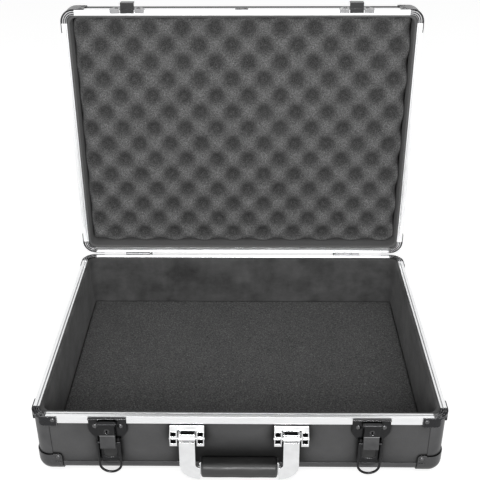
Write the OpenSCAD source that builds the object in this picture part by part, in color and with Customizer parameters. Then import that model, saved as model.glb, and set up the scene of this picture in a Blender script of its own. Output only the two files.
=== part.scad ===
// Microphone case: an aluminium-framed carrying case, shown standing with its lid open.
// X runs along the front, -Y is the front, +Z is up, and the ground is z = 0.

/* [Case] */
// Outer width over the aluminium rims
case_w = 459; // [400:1:560]
// Outer depth over the aluminium rims
case_d = 347; // [300:1:440]
// Height of the base from the ground to its rim
base_h = 83; // [78:1:140]
// Height of the lid from its rim to its top
lid_h = 38; // [38:1:80]
// Angle at which the lid stands open
lid_open = 92; // [88:1:100]
// Gap between the two rims when the case is shut
shut_gap = 0.5; // [0.4:0.1:1.2]
// Clearance between pieces that fit together
fit = 0.1; // [0.05:0.01:0.15]

/* [Panels] */
// Thickness of the laminated panels
panel_t = 4; // [3:0.5:5]
// Thickness of the tongue on a panel's edge
tongue_t = 2; // [1:0.5:2.5]
// Length of the tongue on a panel's edge
tongue_l = 4; // [2:0.5:5]
// Visible seam between a panel and its frame
seam = 0.3; // [0.2:0.1:0.6]

/* [Rims] */
// Width of the rim's face
rim_w = 7; // [6.5:0.5:10]
// Height of the rim's outer flange
rim_face_h = 10; // [8:0.5:12]
// Thickness of the rim's outer flange
rim_skin = 1.2; // [0.8:0.1:1.6]
// Thickness of the rim under its face
rim_top_t = 3; // [2.5:0.25:4]
// Height of the rim's inner flange
rim_lip_h = 8; // [6:0.5:10]
// Distance of the seal line from the rim's inner edge
seal_in = 2.4; // [2:0.1:3]
// Width of the lid rim's sealing tongue
seal_w = 1; // [0.8:0.1:1.2]
// Height of the lid rim's sealing tongue
seal_h = 1.5; // [1:0.1:1.8]
// Clearance of the sealing tongue in its groove
seal_clear = 0.4; // [0.3:0.1:0.5]

/* [Frame] */
// Radius of the upright corners
corner_r = 15; // [14.5:0.5:20]
// Width of a corner post on each wall
post_w = 19; // [18:0.5:28]
// How far the frame lies inside the rim's outer face
frame_in = 0.9; // [0.6:0.1:1.1]
// Radius of the bottom and top edges
edge_r = 12; // [9:0.5:12]
// Height of the seam above the bottom edge trim
edge_top = 16; // [15:0.5:22]
// Width of the edge trim on the case's underside
edge_reach = 15; // [14:0.5:15]

/* [Corners] */
// Length of the ribbed rim corner along each rim
rim_corner_l = 17; // [16:0.5:18]
// How far the rim corner stands proud of the rim
rim_corner_out = 1.2; // [0.8:0.1:1.6]
// Width of the ribs on the rim corner
rib_w = 1.2; // [0.8:0.1:1.4]
// Depth of the grooves between the ribs
rib_depth = 0.8; // [0.4:0.1:1.2]
// Where the rim corner's ear starts
ear_start = 9; // [7:0.5:12]
// Where the rim corner's ear ends
ear_end = 29; // [27:0.5:36]
// Height of the rim corner's ear
ear_h = 13; // [11:0.5:13]
// Thickness of the bottom and top caps
cap_t = 1.5; // [1:0.1:2]
// Length of a cap along each wall
cap_l = 29; // [27:0.5:40]
// Height of the bottom caps
base_cap_h = 27.5; // [25:0.5:34]
// Height of the lid's caps
lid_cap_h = 24.5; // [24.5:0.1:25]
// How far a cap's rim dips at the corner
cap_dip = 1.6; // [0:0.2:2.4]

/* [Rivets] */
// Head radius of the corner rivets
rivet_head_r = 3; // [2.4:0.1:3.2]
// Head height of the corner rivets
rivet_head_h = 1.1; // [0.6:0.1:1.4]
// Shank radius of every rivet
rivet_shank_r = 1.6; // [1:0.1:1.8]
// Distance of the corner rivets from the case's side
rivet_in = 24.5; // [23:0.5:26]
// Distance of the upper corner rivets from the rim
ear_rivet_drop = 5; // [4.5:0.1:6]
// Distance of the cap rivets below the cap's upper edge
cap_rivet_drop = 4.8; // [4.6:0.1:4.9]
// Depth of a rivet's hole in a panel
rivet_bite = 2; // [1:0.25:2.5]

/* [Lining] */
// Width of the lining's lip inside the base rim
base_lining_w = 4; // [3:0.5:6]
// Width of the lining's lip inside the lid rim
lid_lining_w = 3; // [2.5:0.5:6]
// Drop of the lining's top below the rim
lining_drop = 1.2; // [0.5:0.1:3]
// Thickness of the floor foam
floor_foam_t = 5; // [2:0.5:8]
// Gap left around a piece of foam
foam_gap = 0.4; // [0.2:0.1:1]
// Distance between two peaks of the lid foam across the lid
egg_pitch = 43; // [32:0.5:60]
// Distance between two peaks of the lid foam from the hinges to the latches
egg_pitch_up = 45.8; // [32:0.1:60]
// Distance of the peak nearest to the middle to its left
egg_from_x = 12.8; // [-20:0.1:20]
// Distance of that peak from the middle towards the latches
egg_from_y = 2.5; // [-20:0.1:20]
// Depth of the lid foam's peaks below the rim
egg_peak = 13; // [11:0.5:14]
// Depth of the lid foam's valleys below the rim
egg_valley = 22; // [16:0.5:26]

/* [Hinges] */
// Distance of each hinge from the middle
hinge_x = 152; // [100:1:165]
// Width of a hinge
hinge_w = 35; // [26:1:50]
// Distance of the hinge axis behind the rim
hinge_out = 2.6; // [2.6:0.1:3.4]
// Radius of the hinge knuckles
knuckle_r = 2.2; // [2:0.1:2.3]
// Radius of the hinge pin
hinge_pin_r = 1.1; // [0.8:0.1:1.3]
// Height of a hinge leaf
leaf_h = 22; // [18:1:24]
// Thickness of a hinge leaf
leaf_t = 1.2; // [0.8:0.1:1.2]
// Radial clearance of every turning fit
running_fit = 0.05; // [0.03:0.01:0.08]

/* [Latches] */
// Distance of each latch from the middle
latch_x = 145; // [110:1:160]
// Width of a latch plate at its top
latch_w = 42; // [38:1:50]
// Width of a latch plate at its foot
latch_neck_w = 25; // [24:0.5:30]
// Depth of a latch plate's foot below the rim
latch_foot = 63; // [56:1:64]
// Thickness of the latch plate and the catch
latch_t = 1; // [0.8:0.1:1]
// Reach of the plate's folded upper lip
latch_lip = 3.4; // [3:0.1:3.5]
// Width of the latch lever
lever_w = 17; // [14:0.5:17.5]
// Wall of the latch lever
lever_t = 1.2; // [1:0.1:1.4]
// Radius of the lever's rounded head
lever_head_r = 3.6; // [3.3:0.1:3.6]
// Depth of the lever's axis below the rim
lever_axis_drop = 6.5; // [6.5:0.1:7.5]
// Radius of the lever's axle
axle_r = 1.2; // [1:0.1:1.4]
// Depth of the lever's thumb ledge below the rim
ledge_drop = 38; // [36:0.5:41]
// Radius of the lock cylinder
lock_r = 3.3; // [2.8:0.1:3.4]
// Depth of the lock cylinder's axis below the rim
lock_drop = 13.8; // [13.5:0.1:14.5]
// Depth of the bail's axis below the rim
bail_drop = 32.8; // [31:0.1:33]
// Distance from the bail's axis to the end of its loop
bail_l = 45.6; // [44:0.1:47]
// Width between the centres of the bail's legs
bail_w = 24.2; // [23:0.1:26]
// Radius of the bail's wire
bail_r = 1.4; // [1.1:0.1:1.5]
// Distance between the two rivets of a latch
latch_rivet_w = 28; // [27:0.5:31]
// Depth of the latch rivets below the rim
latch_rivet_drop = 13.3; // [13:0.1:15]
// Width of the catch's hook
hook_w = 17.5; // [14:0.5:18]
// Width of the catch over its wings
catch_w = 44; // [40:1:50]
// Height of the catch on the lid
catch_h = 12.4; // [11:0.1:14]

/* [Handle] */
// Distance between the two handle brackets
bracket_gap = 115; // [100:1:140]
// Width of a handle bracket
bracket_w = 38; // [36:1:44]
// Depth of a bracket's top below the rim
bracket_top = 11.4; // [11:0.1:13]
// Height of a handle bracket
bracket_h = 23.8; // [22.5:0.1:25]
// Distance of the handle's axis from the panel
swing_out = 8; // [7.5:0.1:9]
// Depth of the handle's axis below the rim
swing_drop = 25; // [24.5:0.1:26]
// Angle at which the handle leans out at rest
hang = 6; // [5:0.5:12]
// Width of a handle arm
arm_w = 17.6; // [14:0.2:20]
// Thickness of a handle arm
arm_t = 2.4; // [2:0.1:3]
// Length of an arm below the handle's axis
arm_l = 53; // [50:1:56]
// Radius of the rolled end of an arm
roll_r = 4; // [3.6:0.1:4.2]
// Radius of the handle's pivot pins
swing_pin_r = 1.8; // [1.4:0.1:2]
// Length of the grip
grip_l = 85; // [70:1:86]
// Depth of the grip from front to back
grip_d = 21; // [16:0.5:21.5]
// Height of the grip
grip_h = 18.5; // [14:0.5:20]
// Radius of the grip's long edges
grip_r = 5; // [3:0.5:7]
// Distance of the grip's middle below the handle's axis
grip_drop = 39.2; // [37:0.1:41]
// Distance of the grip's screws below the handle's axis
screw_drop = 34.4; // [34:0.1:35]
// Radius of the grip's core
core_r = 3.2; // [2.5:0.1:3.4]

/* [Hidden] */
$fn = 48;

// how far shapes that cut run past the faces they cut
past = 1;
// the panel lies in the rim's channel, u being the distance in from the rim's outer face
panel_u = rim_skin + fit;
panel_in = panel_u + panel_t;
rim_lip_t = rim_w - panel_in - fit;
seal_u = rim_w - seal_in;
groove_w = seal_w + 2 * seal_clear - 2 * fit;
groove_depth = seal_h - shut_gap + seal_clear;
tongue_u = panel_u + (panel_t - tongue_t) / 2;
// the frame's outer surface, its thickness and the centre of its upright corners
frame_t = panel_in - frame_in;
corner_c = frame_in + corner_r;
// the frame starts above the caps' thickness
frame_z = cap_t + fit / 2;
floor_in = frame_z + frame_t;
cap_skin = cap_t + fit / 2;
foam_z = floor_in + fit / 2;
// the sealing tongue and groove stop short of the ribbed corners
seal_end = rim_corner_l + 1;
wall_w = case_w - 2 * post_w;
wall_d = case_d - 2 * post_w;
bead_h = 1.2;
bead_out = 0.5;
cap_round = 4;
ear_round = 3;
// hinge axis
hinge_y = case_d / 2 + hinge_out;
hinge_z = base_h + shut_gap / 2;
hinge_side_gap = 0.3;
knuckle_l = hinge_w / 3;
hinge_rivet_w = hinge_w - 13;
hinge_rivet_drop = leaf_h - 6;
// latch: y is the distance out from the rim's outer face, as a negative number
lever_axis_y = -latch_t - 0.9 - lever_head_r;
lever_face_y = lever_axis_y - lever_head_r;
lever_back_y = -latch_t - 0.4;
lever_step = 2.4;
lever_step_drop = 20.7;
bail_y = lever_axis_y + 0.2;
bail_bend_r = bail_w / 2;
bail_axis_to_bend = bail_l - bail_r - bail_bend_r;
lug_t = 1.2;
lug_x = lever_w / 2 + 0.3;
latch_top = 1.5;
catch_foot = shut_gap - 0.15;
catch_fold_t = 0.8;
catch_rivet_up = catch_foot + 7.2;
catch_rivet_x = latch_rivet_w / 2;
// handle: the arms turn about this axis
swing_y = -(swing_out - panel_u);
arm_x = bracket_gap / 2;
ear_w = (bracket_w - arm_w) / 2 - 2;
arm_bend_w = arm_x + arm_w / 2 - grip_l / 2 - 1.2;
grip_back = roll_r - arm_t / 2 - 2.5;
// egg-crate foam
egg_mean = lid_h - (egg_peak + egg_valley) / 2;
egg_rise = (egg_valley - egg_peak) / 2;
foam_w = case_w - 2 * (rim_w + lid_lining_w + foam_gap);
foam_d = case_d - 2 * (rim_w + lid_lining_w + foam_gap);
// extents that centre the object over its origin
handle_front = case_d / 2 - swing_y + (grip_d / 2 - grip_back - grip_r) * cos(hang)
    + (grip_drop + grip_h / 2 - grip_r) * sin(hang) + grip_r;
lid_arc_y = -(case_d + hinge_out - frame_in - edge_r);
lid_arc_z = lid_h + shut_gap / 2 - frame_z - edge_r;
lid_back = hinge_y + lid_arc_y * cos(lid_open) + lid_arc_z * sin(lid_open)
    + edge_r + cap_skin;
case_y = (handle_front - lid_back) / 2;

// ---- placing ----

// the closed case, moved so that the origin is under the middle of the open one
module in_case() {
    translate([0, case_y, 0]) children();
}

// a closed lid piece, swung open about the hinge
module on_lid() {
    in_case()
        translate([0, hinge_y, hinge_z])
            rotate([-lid_open, 0, 0])
                translate([0, -hinge_y, -hinge_z]) children();
}

// a shell standing on its back, turned over to close the base
module lid_shell() {
    on_lid()
        translate([0, 0, base_h + shut_gap + lid_h])
            mirror([0, 0, 1]) children();
}

// local +Y runs inward from each wall's outer face
module at_front() {
    translate([0, -case_d / 2, 0]) children();
}

module at_rear() {
    rotate(180) translate([0, -case_d / 2, 0]) children();
}

module at_left() {
    rotate(-90) translate([0, -case_w / 2, 0]) children();
}

module at_right() {
    rotate(90) translate([0, -case_w / 2, 0]) children();
}

// the same piece in all four corners, drawn for walls along +X and +Y
module four_corners() {
    for (mx = [0, 1], my = [0, 1])
        mirror([mx, 0, 0])
            mirror([0, my, 0])
                translate([-case_w / 2, -case_d / 2, 0]) children();
}

// a profile of (inward, up) run along a wall
module along(length) {
    rotate([90, 0, 90]) linear_extrude(length, center = true) children();
}

// a profile of (inward, up) turned through an upright corner
module around_corner() {
    translate([corner_c, corner_c, 0])
        rotate(180)
            rotate_extrude(angle = 90)
                mirror([1, 0]) translate([-corner_c, 0]) children();
}

// ---- rivets ----

module rivet_head(r, h) {
    ball_r = (r * r + h * h) / (2 * h);
    intersection() {
        translate([0, 0, h - ball_r]) sphere(ball_r);
        cylinder(h = 2 * h, r = 2 * r);
    }
}

// the head stands on z = 0 and the shank goes down
module rivet(head_r, head_h, shank_l) {
    rivet_head(head_r, head_h);
    translate([0, 0, -shank_l]) cylinder(h = shank_l + 0.01, r = rivet_shank_r);
}

// turns a rivet so that its head looks out of the front wall
module facing_out() {
    rotate([90, 0, 0]) children();
}

module rivet_hole(depth) {
    translate([0, 0, -depth]) cylinder(h = depth + 2 * past, r = rivet_shank_r + fit / 2);
}

// places of the corner rivets on a wall of the given length, for a shell of height h
module ear_rivet_places(length, h) {
    for (side = [-1, 1])
        translate([side * (length / 2 - rivet_in), -rim_corner_out, h - ear_rivet_drop])
            facing_out() children();
}

module cap_rivet_places(length, h) {
    for (side = [-1, 1])
        translate([side * (length / 2 - rivet_in), frame_in - cap_skin, cap_height(h) - cap_rivet_drop])
            facing_out() children();
}

function cap_height(h) = h == base_h ? base_cap_h : lid_cap_h;

module corner_holes(length, h) {
    ear_rivet_places(length, h) rivet_hole(panel_u + rim_corner_out + rivet_bite);
    cap_rivet_places(length, h) rivet_hole(panel_u - frame_in + cap_skin + rivet_bite);
}

module wall_corner_rivets(length, h) {
    ear_rivet_places(length, h)
        rivet(rivet_head_r, rivet_head_h, panel_u + rim_corner_out + rivet_bite - fit);
    cap_rivet_places(length, h)
        rivet(rivet_head_r, rivet_head_h, panel_u - frame_in + cap_skin + rivet_bite - fit);
}

module shell_rivets(h) {
    at_front() wall_corner_rivets(case_w, h);
    at_rear() wall_corner_rivets(case_w, h);
    at_left() wall_corner_rivets(case_d, h);
    at_right() wall_corner_rivets(case_d, h);
}

// ---- shell: panels, posts, trims, rims, corners and caps ----

module wall_panel(length, h) {
    top = h - rim_top_t - fit;
    bottom = edge_top + seam / 2;
    width = length - seam;
    translate([-width / 2, panel_u, bottom]) cube([width, panel_t, top - bottom]);
    translate([-width / 2 - tongue_l, tongue_u, bottom + 2])
        cube([width + 2 * tongue_l, tongue_t, top - bottom - 2]);
    translate([-width / 2 + 2, tongue_u, bottom - tongue_l])
        cube([width - 4, tongue_t, tongue_l + 1]);
}

module drilled_wall(length, outer, h) {
    difference() {
        wall_panel(length, h);
        corner_holes(outer, h);
    }
}

module floor_panel() {
    width = case_w - 2 * edge_reach - seam;
    depth = case_d - 2 * edge_reach - seam;
    z0 = frame_z + (frame_t - panel_t);
    notch = post_w + seam;
    difference() {
        union() {
            translate([-width / 2, -depth / 2, z0]) cube([width, depth, panel_t]);
            translate([-width / 2 - tongue_l, -depth / 2 - tongue_l, z0 + (panel_t - tongue_t) / 2])
                cube([width + 2 * tongue_l, depth + 2 * tongue_l, tongue_t]);
        }
        four_corners()
            translate([-past, -past, -past]) cube([notch + past, notch + past, 20]);
    }
}

// region inside a wall's rounded bottom edge, inset from the frame's surface
module edge_outline(inset, top, reach) {
    intersection() {
        translate([frame_in + edge_r, frame_z + edge_r]) circle(edge_r - inset);
        translate([-5, -5]) square([frame_in + edge_r + 5, frame_z + edge_r + 5]);
    }
    translate([frame_in + inset, frame_z + edge_r])
        square([reach - frame_in - inset, top - frame_z - edge_r]);
    translate([frame_in + edge_r, frame_z + inset])
        square([reach - frame_in - edge_r, top - frame_z - inset]);
}

module edge_profile() {
    slot = tongue_t + 2 * fit;
    floor_tongue_z = frame_z + (frame_t - panel_t) + (panel_t - tongue_t) / 2;
    difference() {
        edge_outline(0, edge_top - seam / 2, edge_reach);
        translate([panel_in, floor_in]) square([50, 50]);
        translate([tongue_u - fit, edge_top - tongue_l - fit - seam / 2]) square([slot, 10]);
        translate([edge_reach - tongue_l - fit, floor_tongue_z - fit]) square([10, slot]);
    }
}

module edge_trims() {
    at_front() along(wall_w - seam) edge_profile();
    at_rear() along(wall_w - seam) edge_profile();
    at_left() along(wall_d - seam) edge_profile();
    at_right() along(wall_d - seam) edge_profile();
}

// plan of a rounded corner, for walls whose outer faces are the axes
module corner_plan(u, leg) {
    intersection() {
        union() {
            translate([corner_c, corner_c]) circle(corner_c - u);
            translate([u, corner_c]) square([leg + 30, leg + 30]);
            translate([corner_c, u]) square([leg + 30, leg + 30]);
        }
        translate([-5, -5]) square(leg + 5);
    }
}

module corner_band(u_out, u_in, leg) {
    difference() {
        corner_plan(u_out, leg);
        corner_plan(u_in, leg + 10);
    }
}

module corner_post(h) {
    slot = tongue_t + 2 * fit;
    top = h - rim_top_t - fit;
    difference() {
        union() {
            translate([0, 0, edge_top - 2])
                linear_extrude(top - edge_top + 2) corner_band(frame_in, panel_in, post_w);
            around_corner() post_foot_profile(corner_c);
            for (m = [0, 1])
                mirror([m, -m, 0])
                    translate([(corner_c + post_w) / 2, 0, 0])
                        along(post_w - corner_c) post_foot_profile(post_w);
        }
        for (m = [0, 1])
            mirror([m, -m, 0])
                translate([rim_corner_l, -past, h - rim_face_h - fit])
                    cube([post_w, panel_u + past, rim_face_h + 1]);
        translate([post_w - tongue_l - fit, tongue_u - fit, edge_top])
            cube([tongue_l + past, slot, h]);
        translate([tongue_u - fit, post_w - tongue_l - fit, edge_top])
            cube([slot, tongue_l + past, h]);
    }
}

module post_foot_profile(reach) {
    difference() {
        edge_outline(0, edge_top, reach);
        translate([panel_in, floor_in]) square([50, 50]);
    }
}

module corner_posts(h) {
    four_corners() corner_post(h);
}

// rims stand with their face at z = 0; seal is 1 for a tongue, -1 for a groove, 0 for none
module rim_profile(seal) {
    difference() {
        union() {
            translate([0, -rim_face_h]) square([rim_skin, rim_face_h]);
            translate([0, -rim_top_t]) square([rim_w, rim_top_t]);
            translate([rim_w - rim_lip_t, -rim_lip_h]) square([rim_lip_t, rim_lip_h]);
            if (seal == 1)
                translate([seal_u - seal_w / 2, -past]) square([seal_w, seal_h + past]);
        }
        if (seal == -1)
            translate([seal_u - groove_w / 2, -groove_depth]) square([groove_w, groove_depth + past]);
    }
}

module rim(length, h, seal) {
    straight = length - 2 * rim_corner_l - fit;
    difference() {
        union() {
            translate([0, 0, h]) along(straight) rim_profile(seal == 1 ? 0 : seal);
            if (seal == 1)
                translate([0, 0, h]) along(length - 2 * seal_end) rim_profile(1);
        }
        corner_holes(length, h);
    }
}

// ribbed piece that closes the rim at an upright corner, with an ear on each wall
module rim_corner(h) {
    difference() {
        union() {
            translate([0, 0, h - rim_top_t])
                linear_extrude(rim_top_t) corner_band(-rim_corner_out, rim_w, rim_corner_l);
            translate([0, 0, h - rim_lip_h])
                linear_extrude(rim_lip_h) corner_band(panel_in + fit, rim_w, rim_corner_l);
            rim_ear(h);
            mirror([1, -1, 0]) rim_ear(h);
        }
        for (u = [rib_w - rim_corner_out, 3 * rib_w - rim_corner_out, 5 * rib_w - rim_corner_out])
            translate([0, 0, h - rib_depth])
                linear_extrude(rib_depth + past) corner_band(u, u + rib_w, rim_corner_l + 2);
        rim_ear_holes(h);
        mirror([1, -1, 0]) rim_ear_holes(h);
    }
}

module rim_ear_holes(h) {
    translate([rivet_in, -rim_corner_out, h - ear_rivet_drop])
        facing_out() rivet_hole(rim_corner_out + past);
}

module rim_ear(h) {
    intersection() {
        translate([0, 0, h - ear_h]) linear_extrude(ear_h) difference() {
            corner_band(-rim_corner_out, frame_in - fit / 2, ear_end);
            translate([rim_corner_l, -fit / 2]) square([50, 10]);
            translate([-5, rim_corner_l / 2]) square([10, 50]);
        }
        translate([0, 20, 0]) rotate([90, 0, 0]) linear_extrude(40) {
            translate([ear_start, h - ear_h + ear_round])
                square([ear_end - ear_start, ear_h - ear_round]);
            translate([ear_start + ear_round, h - ear_h])
                square([ear_end - ear_start - 2 * ear_round, ear_h]);
            translate([ear_end - ear_round, h - ear_h + ear_round]) circle(ear_round);
            translate([ear_start + ear_round, h - ear_h + ear_round]) circle(ear_round);
        }
    }
}

// cap that wraps an upright corner and the two edges that run from it
module corner_cap(cap_h) {
    difference() {
        intersection() {
            cap_shell(cap_h);
            cap_outline(cap_h);
            mirror([1, -1, 0]) cap_outline(cap_h);
        }
        translate([-5, -5, cap_h - cap_dip]) cube([post_w + 5, post_w + 5, 20]);
        for (m = [0, 1])
            mirror([m, -m, 0])
                translate([rivet_in, frame_in - cap_skin, cap_h - cap_rivet_drop])
                    facing_out() rivet_hole(cap_t + past);
    }
    for (m = [0, 1])
        mirror([m, -m, 0])
            translate([rivet_in - 3.5, frame_in - cap_skin - bead_out, edge_top - bead_h / 2])
                cube([7, bead_out + 0.1, bead_h]);
}

module cap_profile() {
    difference() {
        edge_outline(-cap_skin, frame_z + edge_r + 0.5, cap_l);
        edge_outline(-fit / 2, frame_z + edge_r + past, cap_l + past);
    }
}

module cap_shell(cap_h) {
    translate([0, 0, frame_z + edge_r])
        linear_extrude(cap_h - frame_z - edge_r)
            corner_band(frame_in - cap_skin, frame_in - fit / 2, cap_l);
    around_corner() intersection() {
        cap_profile();
        translate([-5, -5]) square([corner_c + 5, 50]);
    }
    for (m = [0, 1])
        mirror([m, -m, 0])
            translate([(corner_c + cap_l) / 2, 0, 0]) along(cap_l - corner_c) cap_profile();
    translate([corner_c, corner_c, 0]) cube([cap_l - corner_c, cap_l - corner_c, cap_t]);
}

module cap_outline(cap_h) {
    translate([0, 60, 0]) rotate([90, 0, 0]) linear_extrude(80) {
        translate([-5, -past]) square([cap_l + 5, cap_h - cap_round + past]);
        translate([-5, -past]) square([cap_l + 5 - cap_round, cap_h + past]);
        translate([cap_l - cap_round, cap_h - cap_round]) circle(cap_round);
    }
}

// ---- lining and foam ----

// plan of the case's inside at a distance in from the rims' outer faces
module inside_plan(u) {
    round_r = max(corner_c - u, 1);
    for (x = [-1, 1], y = [-1, 1])
        translate([x * (case_w / 2 - u - round_r), y * (case_d / 2 - u - round_r)]) circle(round_r);
    square([case_w - 2 * u, case_d - 2 * u - 2 * round_r], center = true);
    square([case_w - 2 * u - 2 * round_r, case_d - 2 * u], center = true);
}

// lining with a lip inside the rim, and a thicker part below the rim's inner flange
module wall_lining(h, lining_w) {
    step_z = h - rim_lip_h - fit;
    difference() {
        union() {
            translate([0, 0, foam_z])
                linear_extrude(step_z - foam_z) inside_plan(panel_in + fit);
            translate([0, 0, foam_z])
                linear_extrude(h - lining_drop - foam_z) inside_plan(rim_w + fit);
        }
        translate([0, 0, floor_in - past])
            linear_extrude(h)
                square([case_w - 2 * (rim_w + lining_w), case_d - 2 * (rim_w + lining_w)], center = true);
    }
}

// ---- hinge ----

module hinge_segments(segments, grow) {
    for (i = segments)
        translate([-hinge_w / 2 + i * knuckle_l + hinge_side_gap / 2 - grow, 0, 0])
            rotate([0, 90, 0])
                linear_extrude(knuckle_l - hinge_side_gap + 2 * grow) children();
}

// a leaf on the rear face below the axis, drawn about that axis with the case in front
module hinge_leaf(segments, pin_clear) {
    other = [for (i = [0:2]) if (len(search(i, segments)) == 0) i];
    difference() {
        union() {
            translate([-hinge_w / 2, -hinge_out, -leaf_h]) cube([hinge_w, leaf_t, leaf_h - 0.15]);
            translate([-hinge_w / 2 + 1, -hinge_out - panel_u, -leaf_h + 1])
                cube([hinge_w - 2, panel_u + 0.1, leaf_h - rim_face_h - 2]);
            hinge_segments(segments, 0) circle(knuckle_r);
        }
        hinge_segments(other, hinge_side_gap) circle(knuckle_r + hinge_side_gap);
        translate([-hinge_w, 0, 0]) rotate([0, 90, 0])
            cylinder(h = 2 * hinge_w, r = hinge_pin_r + pin_clear);
        hinge_rivet_places() rivet_hole(leaf_t + panel_u + past);
    }
}

module hinge_rivet_places() {
    for (side = [-1, 1])
        translate([side * hinge_rivet_w / 2, leaf_t - hinge_out, -hinge_rivet_drop])
            rotate([-90, 0, 0]) children();
}

module at_hinges() {
    for (side = [-1, 1])
        translate([side * hinge_x, hinge_y, hinge_z]) children();
}

module hinge_panel_holes() {
    at_hinges() hinge_rivet_places() rivet_hole(leaf_t + panel_u + rivet_bite);
}

module hinge_rivet_set() {
    at_hinges()
        hinge_rivet_places() rivet(2.4, 0.9, leaf_t + panel_u + rivet_bite - fit);
}

// ---- latch, drawn about the middle of the rim's outer front edge ----

module at_latch(side) {
    translate([side * latch_x, -case_d / 2, base_h]) children();
}

function shoulder(t) = latch_w / 2 - (latch_w - latch_neck_w) / 2 * (1 - cos(180 * t)) / 2;

module latch_plate_outline() {
    shoulder_top = 18;
    shoulder_l = 17;
    steps = 10;
    foot_r = 7;
    right_edge = [
        for (i = [0:steps]) [shoulder(i / steps), -shoulder_top - shoulder_l * i / steps]
    ];
    foot_arc = [
        for (a = [0:15:90]) [
            latch_neck_w / 2 - foot_r + foot_r * cos(a),
            -latch_foot + foot_r - foot_r * sin(a)
        ]
    ];
    half = concat([[latch_w / 2, -latch_top]], right_edge, foot_arc);
    other_half = [for (i = [len(half) - 1:-1:0]) [-half[i][0], half[i][1]]];
    polygon(concat(half, other_half));
}

module latch_rivet_places() {
    for (side = [-1, 1])
        translate([side * latch_rivet_w / 2, -latch_t, -latch_rivet_drop])
            facing_out() children();
}

module latch_plate() {
    scoop_r = 7.6;
    difference() {
        union() {
            rotate([90, 0, 0]) linear_extrude(latch_t) latch_plate_outline();
            intersection() {
                translate([0, panel_u, 0])
                    rotate([90, 0, 0]) linear_extrude(panel_u + 0.2) latch_plate_outline();
                translate([-50, -10, -latch_foot - past])
                    cube([100, 20, latch_foot - rim_face_h - fit + past]);
            }
            translate([-latch_w / 2, -latch_lip, -latch_top - 1.2])
                cube([latch_w, latch_lip - 0.2, 1.2]);
            for (side = [-1, 1])
                latch_lug(side);
        }
        latch_rivet_places() rivet_hole(latch_t + panel_u + past);
        translate([-20, lever_axis_y, -lever_axis_drop])
            rotate([0, 90, 0]) cylinder(h = 40, r = axle_r + 0.01);
        intersection() {
            translate([0, 10, -ledge_drop - 12])
                rotate([90, 0, 0]) cylinder(h = 20, r = scoop_r + 2);
            translate([-scoop_r, -10, -ledge_drop - 21]) cube([2 * scoop_r, 20, 19]);
        }
    }
}

// upright lug that carries one end of the lever's axle
module latch_lug(side) {
    lug_r = 3;
    x0 = side > 0 ? lug_x : -lug_x - lug_t;
    translate([x0, 0, 0]) rotate([90, 0, 90]) linear_extrude(lug_t) {
        translate([lever_axis_y, -lever_axis_drop]) circle(lug_r);
        translate([lever_axis_y, -lever_axis_drop - lug_r])
            square([-lever_axis_y - latch_t / 2, 2 * lug_r]);
    }
}

// the lever's side view, out from the rim's face and down from the rim
module lever_side() {
    translate([lever_axis_y, -lever_axis_drop]) circle(lever_head_r);
    polygon([
        [lever_back_y, -lever_axis_drop],
        [lever_face_y, -lever_axis_drop],
        [lever_face_y, -lever_step_drop],
        [lever_face_y + lever_step, -lever_step_drop - 0.3],
        [lever_face_y - 1.3, -ledge_drop + 1.8],
        [lever_face_y - 1.3, -ledge_drop + 0.6],
        [lever_face_y - 0.4, -ledge_drop],
        [lever_face_y + 2.1, -ledge_drop + 2.4],
        [lever_back_y, -ledge_drop + 2.8]
    ]);
}

module lever_hollow() {
    inner_face = lever_face_y + lever_t;
    translate([lever_axis_y, -lever_axis_drop]) circle(lever_head_r - lever_t);
    polygon([
        [1, -lever_axis_drop],
        [inner_face, -lever_axis_drop],
        [inner_face, -lever_step_drop + 1],
        [inner_face + lever_step, -lever_step_drop + 1],
        [lever_face_y + 0.6, -ledge_drop + 4.4],
        [1, -ledge_drop + 4.4]
    ]);
}

module latch_lever() {
    boss_r = lock_r + 1.6;
    boss_l = 3.4;
    difference() {
        union() {
            difference() {
                rotate([90, 0, 90]) linear_extrude(lever_w, center = true) lever_side();
                rotate([90, 0, 90])
                    linear_extrude(lever_w - 2 * lever_t, center = true) lever_hollow();
            }
            translate([0, lever_face_y + boss_l, -lock_drop])
                rotate([90, 0, 0]) cylinder(h = boss_l - 0.2, r = boss_r);
        }
        translate([0, 0, -lock_drop])
            rotate([90, 0, 0]) cylinder(h = 30, r = lock_r + running_fit);
        translate([-20, lever_axis_y, -lever_axis_drop])
            rotate([0, 90, 0]) cylinder(h = 40, r = axle_r + running_fit);
        translate([-20, bail_y, -bail_drop])
            rotate([0, 90, 0]) cylinder(h = 40, r = bail_r + running_fit);
    }
}

module latch_axle() {
    half = lug_x + lug_t + 0.4;
    translate([-half, lever_axis_y, -lever_axis_drop])
        rotate([0, 90, 0]) cylinder(h = 2 * half, r = axle_r);
}

module lock_cylinder() {
    recess = 0.5;
    flange_y = lever_face_y + 3.4 + running_fit;
    cam_w = 3;
    difference() {
        union() {
            translate([0, flange_y + 0.1, -lock_drop])
                rotate([90, 0, 0]) cylinder(h = flange_y + 0.1 - lever_face_y - recess, r = lock_r);
            translate([0, flange_y + 0.7, -lock_drop])
                rotate([90, 0, 0]) cylinder(h = 0.7, r = lock_r + 1);
            translate([-cam_w / 2, flange_y + 0.6, -lock_drop - 5.6]) cube([cam_w, 0.8, 5.6]);
        }
        translate([0, lever_face_y + recess + 2, -lock_drop])
            rotate([90, 0, 0]) cylinder(h = 4, r = 1.1);
        translate([-0.6, lever_face_y + recess - 1, -lock_drop - 2.6]) cube([1.2, 3, 2.6]);
    }
}

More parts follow.
